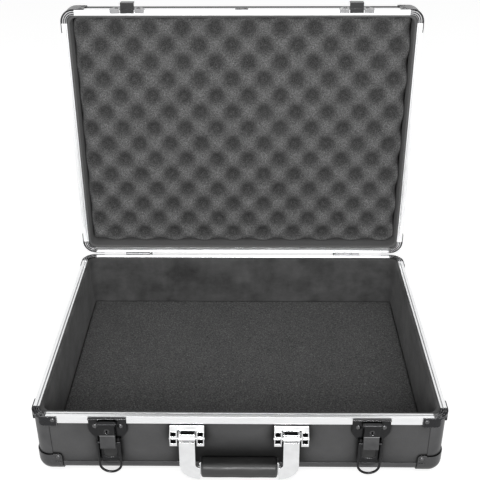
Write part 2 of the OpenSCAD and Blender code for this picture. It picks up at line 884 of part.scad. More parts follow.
// wire loop, hanging from the lever's sides
module latch_bail() {
    end_x = lever_w / 2 - lever_t + 0.2;
    translate([0, bail_y, -bail_drop]) {
        for (side = [-1, 1]) {
            translate([side * bail_w / 2, 0, -bail_axis_to_bend])
                cylinder(h = bail_axis_to_bend, r = bail_r);
            translate([side * bail_w / 2, 0, 0]) sphere(bail_r);
            translate([side > 0 ? end_x : -bail_w / 2, 0, 0])
                rotate([0, 90, 0]) cylinder(h = bail_w / 2 - end_x, r = bail_r);
        }
        translate([0, 0, -bail_axis_to_bend])
            rotate([90, 0, 0])
                rotate(180) rotate_extrude(angle = 180)
                    translate([bail_bend_r, 0]) circle(bail_r);
    }
}

// catch on the lid, drawn closed, with its hook open away from the rim
module catch_piece() {
    fold_l = 4;
    hook_face = bail_y - bail_r - 0.4;
    hook_lip_t = 1.1;
    arch_r = bail_bend_r - bail_r - 0.3;
    arch_z = bail_l - bail_drop - bail_r - bail_bend_r;
    difference() {
        union() {
            translate([0, 0, catch_foot])
                rotate([90, 0, 0]) linear_extrude(latch_t) polygon([
                    [-catch_w / 2, 0], [catch_w / 2, 0], [catch_w / 2, 4.5],
                    [catch_w / 2 - 3.5, catch_h - 1.5], [catch_w / 2 - 5.5, catch_h],
                    [-catch_w / 2 + 5.5, catch_h], [-catch_w / 2 + 3.5, catch_h - 1.5],
                    [-catch_w / 2, 4.5]
                ]);
            for (span = [
                [-catch_w / 2 + 0.5, -hook_w / 2 - 0.8],
                [-hook_w / 2, hook_w / 2],
                [hook_w / 2 + 0.8, catch_w / 2 - 0.5]
            ])
                translate([span[0], -0.5, catch_foot])
                    cube([span[1] - span[0], fold_l + 0.5, catch_fold_t]);
            intersection() {
                translate([0, 0, arch_z])
                    rotate([90, 0, 0]) cylinder(h = -hook_face + 0.2, r = arch_r);
                translate([-hook_w / 2, -30, 3.2]) cube([hook_w, 30, 20]);
            }
            translate([0, hook_face, 0]) rotate([90, 0, 0]) linear_extrude(hook_lip_t)
                hook_lip_outline();
        }
        for (side = [-1, 1])
            translate([side * catch_rivet_x, -latch_t, catch_rivet_up])
                facing_out() rivet_hole(latch_t + past);
    }
}

module hook_lip_outline() {
    r = 2;
    bottom = 3.2;
    top = bail_l - bail_drop + 0.6;
    translate([-hook_w / 2, bottom]) square([hook_w, top - r - bottom]);
    translate([-hook_w / 2 + r, bottom]) square([hook_w - 2 * r, top - bottom]);
    for (side = [-1, 1])
        translate([side * (hook_w / 2 - r), top - r]) circle(r);
}

// recesses for the catches' folds in the lid's front rim, in closed position
module catch_recess() {
    for (side = [-1, 1])
        at_latch(side)
            translate([-catch_w / 2 - fit, -past, -past])
                cube([catch_w + 2 * fit, 4 + past + 0.3, catch_foot + catch_fold_t + 0.1 + past]);
}

module catch_holes() {
    for (side = [-1, 1])
        at_latch(side)
            for (s = [-1, 1])
                translate([s * catch_rivet_x, -latch_t, catch_rivet_up])
                    facing_out() rivet_hole(latch_t + panel_u + rivet_bite);
}

module latch_panel_holes() {
    for (side = [-1, 1])
        at_latch(side)
            latch_rivet_places() rivet_hole(latch_t + panel_u + rivet_bite);
}

// ---- handle, drawn about the middle of the rim's outer front edge ----

module at_handle() {
    translate([0, -case_d / 2, base_h]) children();
}

// the swinging part, drawn about its axis and leaning out at rest
module at_swing() {
    at_handle()
        translate([0, swing_y, -swing_drop])
            rotate([-hang, 0, 0]) children();
}

module bracket_rivet_places() {
    for (x = [-5.5, 5.5])
        translate([x, panel_u - 1.3, -bracket_top - bracket_h + 5])
            facing_out() children();
}

module handle_bracket() {
    plate_t = 1.3;
    front = swing_y - 3.7;
    foot = bracket_top + bracket_h;
    lip_y = -2.5;
    shoulder = bracket_top + lip_y - front;
    side_t = 1.1;
    window_w = ear_w - 2 * side_t;
    difference() {
        union() {
            translate([-bracket_w / 2, panel_u - plate_t, -foot])
                cube([bracket_w, plate_t, bracket_h]);
            rotate([90, 0, 90]) linear_extrude(bracket_w, center = true) polygon([
                [panel_u - 0.1, -bracket_top],
                [lip_y, -bracket_top],
                [lip_y - 2.9, -bracket_top - 2.9],
                [lip_y - 1.8, -bracket_top - 4],
                [lip_y + 0.4, -bracket_top - 2.6],
                [panel_u - 0.1, -bracket_top - 2.6]
            ]);
            for (side = [-1, 1])
                translate([side * (bracket_w - ear_w) / 2, 0, 0])
                    rotate([90, 0, 90]) linear_extrude(ear_w, center = true) polygon([
                        [panel_u - 0.5, -bracket_top],
                        [lip_y, -bracket_top],
                        [front, -shoulder],
                        [front - 0.3, -swing_drop - 2],
                        [front, -foot + 2],
                        [front + 2.5, -foot],
                        [panel_u - 0.5, -foot]
                    ]);
        }
        translate([-(arm_w - 3) / 2, -past, -swing_drop - 2])
            cube([arm_w - 3, 10, swing_drop - bracket_top - 7.9]);
        for (side = [-1, 1])
            translate([side * (bracket_w - ear_w) / 2, 0, 0]) {
                rotate([90, 0, 90]) linear_extrude(window_w, center = true) polygon([
                    [panel_u + 1, -bracket_top - 3],
                    [lip_y + 1, -bracket_top - 3],
                    [front + 1.3, -shoulder - 0.4],
                    [front + 1.3, -foot + 2.4],
                    [front + 3.1, -foot + 1.3],
                    [panel_u + 1, -foot + 1.3]
                ]);
                translate([-window_w / 2, front - 5, -shoulder]) cube([window_w, 14, 3.3]);
                translate([-window_w / 2, front - 5, -shoulder - 10])
                    cube([window_w, 8, 7.4]);
            }
        translate([-50, swing_y, -swing_drop])
            rotate([0, 90, 0]) cylinder(h = 100, r = swing_pin_r + 0.01);
        bracket_rivet_places() rivet_hole(plate_t + past);
    }
}

module bracket_panel_holes() {
    for (side = [-1, 1])
        at_handle()
            translate([side * arm_x, 0, 0])
                bracket_rivet_places() rivet_hole(1.3 + rivet_bite);
}

module swing_pins() {
    half = bracket_w / 2 + 0.6;
    for (side = [-1, 1])
        at_handle()
            translate([side * arm_x - half, swing_y, -swing_drop])
                rotate([0, 90, 0]) cylinder(h = 2 * half, r = swing_pin_r);
}

// outline of the left arm in its own plane: x from the middle of the handle, z from the axis
module arm_outline() {
    outer_x = -arm_x - arm_w / 2;
    inner_x = -arm_x + arm_w / 2;
    end_x = -grip_l / 2 - 1.2;
    bend_in = 5;
    bend_up = arm_l - 15.3;
    outer_arc = [
        for (a = [0:10:90])
            [end_x - arm_bend_w * cos(a), -(arm_l - 18.4) - 18.4 * sin(a)]
    ];
    inner_arc = [
        for (a = [90:-15:0])
            [inner_x + bend_in - bend_in * cos(a), -(bend_up - 5) - 5 * sin(a)]
    ];
    polygon(concat(
        [[outer_x, 0]], outer_arc, [[end_x, -bend_up]], inner_arc, [[inner_x, 0]]
    ));
}

module handle_arm() {
    tab_t = 1.2;
    notch_h = 3.6;
    notch_depth = 1.6;
    end_x = -grip_l / 2 - 1.2;
    difference() {
        union() {
            translate([0, arm_t - roll_r, 0])
                rotate([90, 0, 0]) linear_extrude(arm_t) arm_outline();
            translate([-arm_x - arm_w / 2, 0, 0])
                rotate([0, 90, 0]) cylinder(h = arm_w, r = roll_r);
            translate([end_x, -roll_r, -arm_l + 7]) cube([tab_t, roll_r + 6, arm_l - 7 - screw_drop + 5]);
        }
        translate([-arm_x - arm_w, 0, 0])
            rotate([0, 90, 0]) cylinder(h = 2 * arm_w, r = swing_pin_r + running_fit);
        translate([-arm_x - arm_w, -roll_r - past, 0.5 - notch_h])
            cube([2 * arm_w, past + notch_depth, notch_h]);
        translate([end_x - past, grip_back, -screw_drop])
            rotate([0, 90, 0]) cylinder(h = tab_t + 2 * past, r = rivet_shank_r + fit / 2);
    }
}

module grip_section() {
    for (y = [-1, 1], z = [-1, 1])
        translate([y * (grip_d / 2 - grip_r), z * (grip_h / 2 - grip_r)]) circle(grip_r);
    square([grip_d, grip_h - 2 * grip_r], center = true);
    square([grip_d - 2 * grip_r, grip_h], center = true);
}

module grip() {
    difference() {
        translate([0, grip_back, -grip_drop])
            rotate([90, 0, 90]) linear_extrude(grip_l, center = true) grip_section();
        translate([-grip_l, grip_back, -screw_drop])
            rotate([0, 90, 0]) cylinder(h = 2 * grip_l, r = core_r + fit / 2);
    }
}

module core_bar() {
    translate([-grip_l / 2, grip_back, -screw_drop]) difference() {
        rotate([0, 90, 0]) cylinder(h = grip_l, r = core_r);
        for (x = [-past, grip_l - 12])
            translate([x, 0, 0])
                rotate([0, 90, 0]) cylinder(h = 12 + past, r = rivet_shank_r + fit / 2);
    }
}

module handle_screw() {
    // head on the left arm's tab, shank into the core
    head_x = -grip_l / 2 - 1.2;
    translate([head_x, grip_back, -screw_drop]) rotate([0, -90, 0]) difference() {
        rivet(2.6, 1.6, 1.2 + 10);
        translate([-0.4, -5, 0.9]) cube([0.8, 10, 5]);
    }
}

// ---- centre plate on the lid's front ----

centre_w = 16.5;
centre_h = 8.4;
centre_t = 0.9;

module centre_rivet_places() {
    for (x = [-4.2, 4.2])
        translate([x, -centre_t, shut_gap + centre_h / 2 + 0.6]) facing_out() children();
}

module centre_plate() {
    difference() {
        translate([-centre_w / 2, -centre_t, shut_gap + 0.6]) cube([centre_w, centre_t, centre_h]);
        centre_rivet_places() rivet_hole(centre_t + past);
    }
}

// ================ base ================

module base_floor_panel() {
    color("#232323") in_case() floor_panel();
}

module base_front_panel() {
    color("#3a3a3b") in_case() difference() {
        at_front() drilled_wall(wall_w, case_w, base_h);
        latch_panel_holes();
        bracket_panel_holes();
    }
}

module base_rear_panel() {
    color("#3a3a3b") in_case() difference() {
        at_rear() drilled_wall(wall_w, case_w, base_h);
        hinge_panel_holes();
    }
}

module base_left_panel() {
    color("#3a3a3b") in_case() at_left() drilled_wall(wall_d, case_d, base_h);
}

module base_right_panel() {
    color("#3a3a3b") in_case() at_right() drilled_wall(wall_d, case_d, base_h);
}

module base_corner_posts() {
    color("#343435") in_case() corner_posts(base_h);
}

module base_edge_trims() {
    color("#303031") in_case() edge_trims();
}

module base_front_rim() {
    color("#e4e5e6") in_case() at_front() rim(case_w, base_h, -1);
}

module base_rear_rim() {
    color("#e4e5e6") in_case() at_rear() rim(case_w, base_h, 0);
}

module base_side_rims() {
    color("#e4e5e6") in_case() {
        at_left() rim(case_d, base_h, -1);
        at_right() rim(case_d, base_h, -1);
    }
}

module base_rim_corners() {
    color("#262627") in_case() four_corners() rim_corner(base_h);
}

module base_bottom_caps() {
    color("#2e2e2f") in_case() four_corners() corner_cap(base_cap_h);
}

module base_corner_rivets() {
    color("#77787a") in_case() shell_rivets(base_h);
}

module base_wall_lining() {
    color("#2b2b2c") in_case() wall_lining(base_h, base_lining_w);
}

module base_floor_foam() {
    color("#363637") in_case()
        translate([0, 0, foam_z])
            linear_extrude(floor_foam_t) inside_plan(rim_w + base_lining_w + foam_gap);
}

module hinge_base_leaves() {
    color("#b9babc") in_case() at_hinges() hinge_leaf([0, 2], 0.01);
}

// each pin's head stands clear of the knuckles, on the side of the case's middle
module hinge_pins() {
    neck_l = 1.4;
    head_l = 2.2;
    head_r = hinge_pin_r + 0.8;
    color("#8b8c8e") in_case()
        for (side = [-1, 1])
            translate([side * hinge_x, hinge_y, hinge_z])
                rotate([0, -90 * side, 0]) {
                    translate([0, 0, -hinge_w / 2])
                        cylinder(h = hinge_w + neck_l, r = hinge_pin_r);
                    translate([0, 0, hinge_w / 2 + neck_l]) cylinder(h = head_l, r = head_r);
                }
}

module hinge_base_rivets() {
    color("#8b8c8e") in_case() hinge_rivet_set();
}

// ================ latches ================

module left_latch_plate() {
    color("#2a2a2b") in_case() at_latch(-1) latch_plate();
}

module right_latch_plate() {
    color("#2a2a2b") in_case() at_latch(1) latch_plate();
}

module latch_rivets() {
    color("#39393a") in_case()
        for (side = [-1, 1])
            at_latch(side)
                latch_rivet_places()
                    rivet(3.2, 1.1, latch_t + panel_u + rivet_bite - fit);
}

module latch_axles() {
    color("#4a4a4c") in_case() {
        at_latch(-1) latch_axle();
        at_latch(1) latch_axle();
    }
}

module left_latch_lever() {
    color("#2f2f30") in_case() at_latch(-1) latch_lever();
}

module right_latch_lever() {
    color("#2f2f30") in_case() at_latch(1) latch_lever();
}

module left_lock_cylinder() {
    color("#58595b") in_case() at_latch(-1) lock_cylinder();
}

module right_lock_cylinder() {
    color("#58595b") in_case() at_latch(1) lock_cylinder();
}

module left_latch_bail() {
    color("#3c3c3e") in_case() at_latch(-1) latch_bail();
}

module right_latch_bail() {
    color("#3c3c3e") in_case() at_latch(1) latch_bail();
}

// ================ handle ================

module left_handle_bracket() {
    color("#d9dadb") in_case() at_handle() translate([-arm_x, 0, 0]) handle_bracket();
}

module right_handle_bracket() {
    color("#d9dadb") in_case() at_handle() translate([arm_x, 0, 0]) handle_bracket();
}

module bracket_rivets() {
    color("#b9babc") in_case() at_handle()
        for (side = [-1, 1])
            translate([side * arm_x, 0, 0])
                bracket_rivet_places() rivet(2.4, 0.9, 1.3 + rivet_bite - fit);
}

module handle_pivot_pins() {
    color("#b9babc") in_case() swing_pins();
}

module left_handle_arm() {
    color("#dfe0e1") in_case() at_swing() handle_arm();
}

module right_handle_arm() {
    color("#dfe0e1") in_case() at_swing() mirror([1, 0, 0]) handle_arm();
}

module handle_grip() {
    color("#262626") in_case() at_swing() grip();
}

module grip_core() {
    color("#8b8c8e") in_case() at_swing() core_bar();
}

module handle_screws() {
    color("#cfd0d1") in_case() at_swing() {
        handle_screw();
        mirror([1, 0, 0]) handle_screw();
    }
}

// ================ lid ================

module lid_top_panel() {
    color("#232323") lid_shell() floor_panel();
}

module lid_front_panel() {
    color("#3a3a3b") difference() {
        lid_shell() at_front() drilled_wall(wall_w, case_w, lid_h);
        on_lid() catch_holes();
        on_lid() at_handle() centre_rivet_places() rivet_hole(centre_t + panel_u + rivet_bite);
    }
}

module lid_rear_panel() {
    color("#3a3a3b") difference() {
        lid_shell() at_rear() drilled_wall(wall_w, case_w, lid_h);
        on_lid() lid_hinge_side() hinge_panel_holes();
    }
}

module lid_left_panel() {
    color("#3a3a3b") lid_shell() at_left() drilled_wall(wall_d, case_d, lid_h);
}

module lid_right_panel() {
    color("#3a3a3b") lid_shell() at_right() drilled_wall(wall_d, case_d, lid_h);
}

module lid_corner_posts() {
    color("#343435") lid_shell() corner_posts(lid_h);
}

module lid_edge_trims() {
    color("#303031") lid_shell() edge_trims();
}

module lid_front_rim() {
    color("#e4e5e6") difference() {
        lid_shell() at_front() rim(case_w, lid_h, 1);
        on_lid() catch_recess();
        on_lid() catch_holes();
        on_lid() at_handle() centre_rivet_places() rivet_hole(centre_t + rim_skin + past);
    }
}

module lid_rear_rim() {
    color("#e4e5e6") lid_shell() at_rear() rim(case_w, lid_h, 0);
}

module lid_side_rims() {
    color("#e4e5e6") lid_shell() {
        at_left() rim(case_d, lid_h, 1);
        at_right() rim(case_d, lid_h, 1);
    }
}

module lid_rim_corners() {
    color("#262627") lid_shell() four_corners() rim_corner(lid_h);
}

module lid_top_caps() {
    color("#2e2e2f") lid_shell() four_corners() corner_cap(lid_cap_h);
}

module lid_corner_rivets() {
    color("#77787a") lid_shell() shell_rivets(lid_h);
}

module lid_wall_lining() {
    color("#5c5c5e") lid_shell() wall_lining(lid_h, lid_lining_w);
}

// along one side, the cut edges and each peak and hollow of the wave between them
function egg_stops(length, pitch, from) =
    let (reach = length / 2 - 2,
        first = ceil(2 * (-reach - from) / pitch),
        last = floor(2 * (reach - from) / pitch))
        concat([-length / 2], [for (k = [first:last]) from + k * pitch / 2], [length / 2]);

// egg-crate sheet: peaks and hollows in a chequered wave, cut square at its sides
module lid_foam() {
    xs = egg_stops(foam_w, egg_pitch, -egg_from_x);
    ys = egg_stops(foam_d, egg_pitch_up, -egg_from_y);
    nx = len(xs) - 1;
    ny = len(ys) - 1;
    top = [
        for (j = [0:ny], i = [0:nx])
            [xs[i], ys[j], egg_mean + egg_rise * egg_wave(xs[i], ys[j])]
    ];
    mid = [
        for (j = [0:ny - 1], i = [0:nx - 1])
            let (x = (xs[i] + xs[i + 1]) / 2, y = (ys[j] + ys[j + 1]) / 2)
                [x, y, egg_mean + egg_rise * egg_wave(x, y)]
    ];
    ring = concat(
        [for (i = [0:nx - 1]) i],
        [for (j = [0:ny - 1]) j * (nx + 1) + nx],
        [for (i = [nx:-1:1]) ny * (nx + 1) + i],
        [for (j = [ny:-1:1]) j * (nx + 1)]
    );
    foot = [for (k = ring) [top[k][0], top[k][1], foam_z]];
    mid_at = len(top);
    foot_at = mid_at + len(mid);
    centre_at = foot_at + len(foot);
    n = len(ring);
    faces = concat(
        [for (j = [0:ny - 1], i = [0:nx - 1], t = [0:3])
            let (a = j * (nx + 1) + i, b = a + 1, c = b + nx + 1, d = a + nx + 1,
                loop = [a, b, c, d])
                [loop[(t + 1) % 4], loop[t], mid_at + j * nx + i]],
        [for (k = [0:n - 1]) [ring[k], ring[(k + 1) % n], foot_at + (k + 1) % n]],
        [for (k = [0:n - 1]) [ring[k], foot_at + (k + 1) % n, foot_at + k]],
        [for (k = [0:n - 1]) [centre_at, foot_at + k, foot_at + (k + 1) % n]]
    );
    color("#3f3f40") lid_shell()
        polyhedron(concat(top, mid, foot, [[0, 0, foam_z]]), faces);
}

function egg_wave(x, y) =
    cos(360 * (x + egg_from_x) / egg_pitch) * cos(360 * (y + egg_from_y) / egg_pitch_up);

// mirrors a piece of the base's hinge across the closing plane
module lid_hinge_side() {
    translate([0, 0, hinge_z]) mirror([0, 0, 1]) translate([0, 0, -hinge_z]) children();
}

module hinge_lid_leaves() {
    color("#b9babc") on_lid() lid_hinge_side() at_hinges() hinge_leaf([1], running_fit);
}

module hinge_lid_rivets() {
    color("#8b8c8e") on_lid() lid_hinge_side() hinge_rivet_set();
}

module left_catch() {
    color("#2a2a2b") on_lid() at_latch(-1) catch_piece();
}

module right_catch() {
    color("#2a2a2b") on_lid() at_latch(1) catch_piece();
}

module catch_rivets() {
    color("#39393a") on_lid()
        for (side = [-1, 1])
            at_latch(side)
                for (s = [-1, 1])
                    translate([s * catch_rivet_x, -latch_t, catch_rivet_up])
                        facing_out() rivet(3, 1, latch_t + panel_u + rivet_bite - fit);
}

module lid_centre_plate() {
    color("#c9cacc") on_lid() at_handle() centre_plate();
}

module centre_plate_rivets() {
    color("#e4e5e6") on_lid() at_handle()
        centre_rivet_places() rivet(2.4, 0.8, centre_t + panel_u + rivet_bite - fit);
}

base_floor_panel();
base_front_panel();
base_rear_panel();
base_left_panel();
base_right_panel();
base_corner_posts();
base_edge_trims();
base_front_rim();
base_rear_rim();
base_side_rims();
base_rim_corners();
base_bottom_caps();
base_corner_rivets();
base_wall_lining();
base_floor_foam();
hinge_base_leaves();
hinge_pins();
hinge_base_rivets();
left_latch_plate();
right_latch_plate();
latch_rivets();
latch_axles();
left_latch_lever();
right_latch_lever();
left_lock_cylinder();
right_lock_cylinder();
left_latch_bail();
right_latch_bail();
left_handle_bracket();
right_handle_bracket();
bracket_rivets();
handle_pivot_pins();
left_handle_arm();
right_handle_arm();
handle_grip();
grip_core();
handle_screws();
lid_top_panel();
lid_front_panel();
lid_rear_panel();
lid_left_panel();
lid_right_panel();
lid_corner_posts();
lid_edge_trims();
lid_front_rim();
lid_rear_rim();
lid_side_rims();
lid_rim_corners();
lid_top_caps();
lid_corner_rivets();
lid_wall_lining();
lid_foam();
hinge_lid_leaves();
hinge_lid_rivets();
left_catch();
right_catch();
catch_rivets();
lid_centre_plate();
centre_plate_rivets();
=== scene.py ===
import math

import bmesh
import bpy
from mathutils import Matrix, Vector, noise


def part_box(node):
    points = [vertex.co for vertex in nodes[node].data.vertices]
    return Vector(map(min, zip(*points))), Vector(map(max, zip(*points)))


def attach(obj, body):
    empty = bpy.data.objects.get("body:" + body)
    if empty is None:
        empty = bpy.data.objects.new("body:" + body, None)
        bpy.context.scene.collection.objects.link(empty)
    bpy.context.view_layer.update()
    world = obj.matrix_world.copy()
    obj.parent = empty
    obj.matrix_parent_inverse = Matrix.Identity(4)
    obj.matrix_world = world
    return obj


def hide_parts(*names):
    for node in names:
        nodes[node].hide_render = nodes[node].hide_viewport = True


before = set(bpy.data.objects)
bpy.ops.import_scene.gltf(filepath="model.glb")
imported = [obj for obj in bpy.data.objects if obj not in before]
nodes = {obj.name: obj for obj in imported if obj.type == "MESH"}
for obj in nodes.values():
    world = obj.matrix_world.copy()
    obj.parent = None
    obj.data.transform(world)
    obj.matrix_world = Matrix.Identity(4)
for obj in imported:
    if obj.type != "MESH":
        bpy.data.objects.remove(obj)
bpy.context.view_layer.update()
scene = bpy.context.scene
scene.view_settings.view_transform = "Standard"


# small helpers for node trees

def addNode(tree, kind, inputs=None, **settings):
    node = tree.nodes.new(kind)
    for name, value in settings.items():
        setattr(node, name, value)
    for name, value in (inputs or {}).items():
        give(tree, node.inputs[name], value)
    return node


def give(tree, socket, value):    # a link where the value is a socket, or else a constant
    if isinstance(value, bpy.types.NodeSocket):
        tree.links.new(value, socket)
    else:
        socket.default_value = value


def calc(tree, operation, *values, clamp=False):
    node = addNode(tree, "ShaderNodeMath", operation=operation, use_clamp=clamp)
    for socket, value in zip(node.inputs, values):
        give(tree, socket, value)
    return node.outputs[0]


def product(tree, *values):
    result = values[0]
    for value in values[1:]:
        result = calc(tree, "MULTIPLY", result, value)
    return result


def diagonal(tree, across, along):
    squares = (product(tree, side, side) for side in (across, along))
    return calc(tree, "SQRT", calc(tree, "ADD", *squares))


def dotProduct(tree, first, second):
    node = addNode(tree, "ShaderNodeVectorMath", operation="DOT_PRODUCT")
    give(tree, node.inputs[0], first)
    give(tree, node.inputs[1], second)
    return node.outputs["Value"]


def parts(tree, vector):
    outputs = addNode(tree, "ShaderNodeSeparateXYZ", {"Vector": vector}).outputs
    return outputs["X"], outputs["Y"], outputs["Z"]


def ramp(tree, value, low, high, toLow=0.0, toHigh=1.0):
    return addNode(tree, "ShaderNodeMapRange", {"Value": value, "From Min": low, "From Max": high,
                                                "To Min": toLow, "To Max": toHigh}).outputs[0]


# camera

view = {
    "place": (0.0129, -0.8852, 0.7020),
    "sensor": 36,
    "lens": 62.67,
    "down": 29.84,        # degrees below level
    "turn": -0.90,        # degrees to the side
    "roll": -0.31,
    "shiftUp": 0.0052,
    "clip": (0.02, 60),
}


def addCamera(v):
    down, turn, roll = (math.radians(v[k]) for k in ("down", "turn", "roll"))
    forward = Vector((math.sin(turn) * math.cos(down), math.cos(turn) * math.cos(down), -math.sin(down)))
    right = Vector((math.cos(turn), -math.sin(turn), 0))
    up = right.cross(forward)
    across = right * math.cos(roll) + up * math.sin(roll)
    above = up * math.cos(roll) - right * math.sin(roll)
    data = bpy.data.cameras.new("camera")
    data.lens, data.sensor_width, data.shift_y = v["lens"], v["sensor"], v["shiftUp"]
    data.clip_start, data.clip_end = v["clip"]
    holder = bpy.data.objects.new("camera", data)
    turned = Matrix((across, above, -forward)).transposed().to_4x4()
    holder.matrix_world = Matrix.Translation(v["place"]) @ turned
    scene.collection.objects.link(holder)
    scene.camera = holder


addCamera(view)
print("camera: placed")


# floor, air and lamps

studio = {
    "floorRadius": 9.0,
    "floorSides": 64,
    "floorColour": 0.80,
    "floorLift": 0.56,      # brings the floor up to the white background, for the camera
    "floorShine": 0.26,     # and for what mirrors it
    "airLevel": 0.46,
    "keyPower": 40.0,
    "keyPlace": (0.03, -2.25, 1.12),
    "keySize": 1.0,
    "topPower": 3.0,
    "topPlace": (0.25, -0.30, 2.30),
    "topSize": 1.4,
    "aim": (0, 0, 0.15),
}


def seenDirectly(tree, mirrored=1.0):    # 1 where the camera looks, and how much of it a reflection sees
    path = addNode(tree, "ShaderNodeLightPath")
    shine = calc(tree, "MULTIPLY", path.outputs["Is Glossy Ray"], mirrored)
    either = calc(tree, "MAXIMUM", path.outputs["Is Camera Ray"], shine)
    return calc(tree, "MAXIMUM", either, path.outputs["Is Transmission Ray"])


def addAir(s):
    world = bpy.data.worlds.new("softAir")
    world.use_nodes = True
    scene.world = world
    tree = world.node_tree
    tree.nodes.clear()
    level = addNode(tree, "ShaderNodeMix", {"Factor": seenDirectly(tree), "A": s["airLevel"], "B": 1.0})
    air = addNode(tree, "ShaderNodeBackground", {"Color": (1, 1, 1, 1), "Strength": level.outputs[0]})
    addNode(tree, "ShaderNodeOutputWorld", {"Surface": air.outputs[0]})


def addFloor(s):
    mesh = bpy.data.meshes.new("floor")
    steps = [2 * math.pi * a / s["floorSides"] for a in range(s["floorSides"])]
    ring = [(s["floorRadius"] * math.cos(a), s["floorRadius"] * math.sin(a), 0) for a in steps]
    mesh.from_pydata(ring, [], [list(range(len(ring)))])
    floor = bpy.data.objects.new("floor", mesh)
    scene.collection.objects.link(floor)
    paper = bpy.data.materials.new("whitePaper")
    paper.use_nodes = True
    tree = paper.node_tree
    tree.nodes.clear()
    tone = s["floorColour"]
    matt = addNode(tree, "ShaderNodeBsdfDiffuse", {"Color": (tone, tone, tone, 1)})
    seen = seenDirectly(tree, s["floorShine"] / s["floorLift"])
    lift = addNode(tree, "ShaderNodeEmission", {"Color": (1, 1, 1, 1),
                                                "Strength": calc(tree, "MULTIPLY", seen, s["floorLift"])})
    both = addNode(tree, "ShaderNodeAddShader", {0: matt.outputs[0], 1: lift.outputs[0]})
    addNode(tree, "ShaderNodeOutputMaterial", {"Surface": both.outputs[0]})
    mesh.materials.append(paper)


def addLamps(s):
    for name in ("key", "top"):
        data = bpy.data.lights.new(name + "Lamp", "AREA")
        data.shape, data.size, data.energy = "DISK", s[name + "Size"], s[name + "Power"]
        lamp = bpy.data.objects.new(name + "Lamp", data)
        lamp.location = s[name + "Place"]
        aim = Vector(s["aim"]) - lamp.location
        lamp.rotation_euler = aim.to_track_quat("-Z", "Y").to_euler()
        scene.collection.objects.link(lamp)


addAir(studio)
addFloor(studio)
addLamps(studio)
print("studio: floor, air and two lamps")


# where the two shells are

shell = {
    "width": 0.459, "depth": 0.347, "baseHeight": 0.083, "lidHeight": 0.038, "shutGap": 0.0005,
    "centreY": -0.015586169, "hingeY": 0.160514, "hingeZ": 0.08325, "open": 92.0,
}


def placeOfBase(s):    # from a shell drawn about its own middle to the case
    return Matrix.Translation((0, s["centreY"], 0))


def placeOfLid(s):    # the same, turned over onto the base and swung open
    swing = Matrix.Rotation(-math.radians(s["open"]), 4, "X")
    hinge = Matrix.Translation((0, s["hingeY"], s["hingeZ"]))
    over = Matrix.Rotation(math.pi, 4, "X")
    shut = Matrix.Translation((0, s["centreY"], s["baseHeight"] + s["shutGap"] + s["lidHeight"])) @ over
    return hinge @ swing @ hinge.inverted() @ shut


basePlace, lidPlace = placeOfBase(shell), placeOfLid(shell)
basePlan = (Vector((0, 1, 0)), 0.0)                                   # the way to the back, and an offset
lidBackward = lidPlace.to_3x3() @ Vector((0, 1, 0))
lidPlan = (lidBackward, -lidBackward.dot(lidPlace.translation))


# what the finishes are made of

noiseBand = (0.3, 0.7)    # soft noise has most of its values in here


def newFinish(name):
    material = bpy.data.materials.new(name)
    material.use_nodes = True
    tree = material.node_tree
    tree.nodes.clear()
    surface = addNode(tree, "ShaderNodeBsdfPrincipled")
    addNode(tree, "ShaderNodeOutputMaterial", {"Surface": surface.outputs[0]})
    where = addNode(tree, "ShaderNodeTexCoord").outputs["Object"]
    return material, tree, surface, where


def setSurface(tree, surface, **values):    # baseColor sets Base Color, and so on
    for name, value in values.items():
        label = "".join(" " + letter if letter.isupper() else letter for letter in name).title()
        give(tree, surface.inputs[label], value)


def grain(tree, where, size, detail=2.0, stretch=(1, 1, 1), rough=0.5):    # soft noise, size in metres
    placed = addNode(tree, "ShaderNodeMapping", {"Vector": where, "Scale": stretch})
    return addNode(tree, "ShaderNodeTexNoise", {"Vector": placed.outputs[0], "Scale": 1 / size,
                                                "Detail": detail, "Roughness": rough}).outputs[0]


def cells(tree, where, size, feature="F1"):    # open or closed cells, size in metres
    return addNode(tree, "ShaderNodeTexVoronoi", {"Vector": where, "Scale": 1 / size, "Randomness": 1.0},
                   feature=feature).outputs["Distance"]


def spread(tree, value, low, high):    # soft noise turned into an amount from low to high
    return ramp(tree, value, *noiseBand, low, high)


def about(tree, value, middle, reach):    # the same, as far below and above a middle as reach says
    return spread(tree, value, middle + reach[0], middle + reach[1])


def shade(tree, tone, share):    # a grey or tinted tone made lighter or darker by share
    node = addNode(tree, "ShaderNodeMix", {"Factor": 1.0}, data_type="RGBA", blend_type="MULTIPLY")
    node.inputs["A"].default_value = (*tone, 1)
    grey = addNode(tree, "ShaderNodeCombineColor", {"Red": share, "Green": share, "Blue": share})
    tree.links.new(grey.outputs[0], node.inputs["B"])
    return node.outputs["Result"]


def blendTone(tree, factor, first, second):
    node = addNode(tree, "ShaderNodeMix", {"Factor": factor}, data_type="RGBA")
    for socket, tone in (("A", first), ("B", second)):
        give(tree, node.inputs[socket], (*tone, 1) if isinstance(tone, tuple) else tone)
    return node.outputs["Result"]


def bump(tree, height, depth, strength, normal=None):
    inputs = {"Height": height, "Strength": strength, "Distance": depth}
    if normal is not None:
        inputs["Normal"] = normal
    return addNode(tree, "ShaderNodeBump", inputs).outputs[0]


def softEdge(tree, radius):
    return addNode(tree, "ShaderNodeBevel", {"Radius": radius}, samples=4).outputs[0]


def bentEdges(tree, soft, low=0.02, high=0.22):    # 1 on the edges, which carry wear and painted highlights
    plain = addNode(tree, "ShaderNodeNewGeometry").outputs["Normal"]
    bent = calc(tree, "SUBTRACT", 1.0, dotProduct(tree, soft, plain))
    return ramp(tree, bent, low, high)


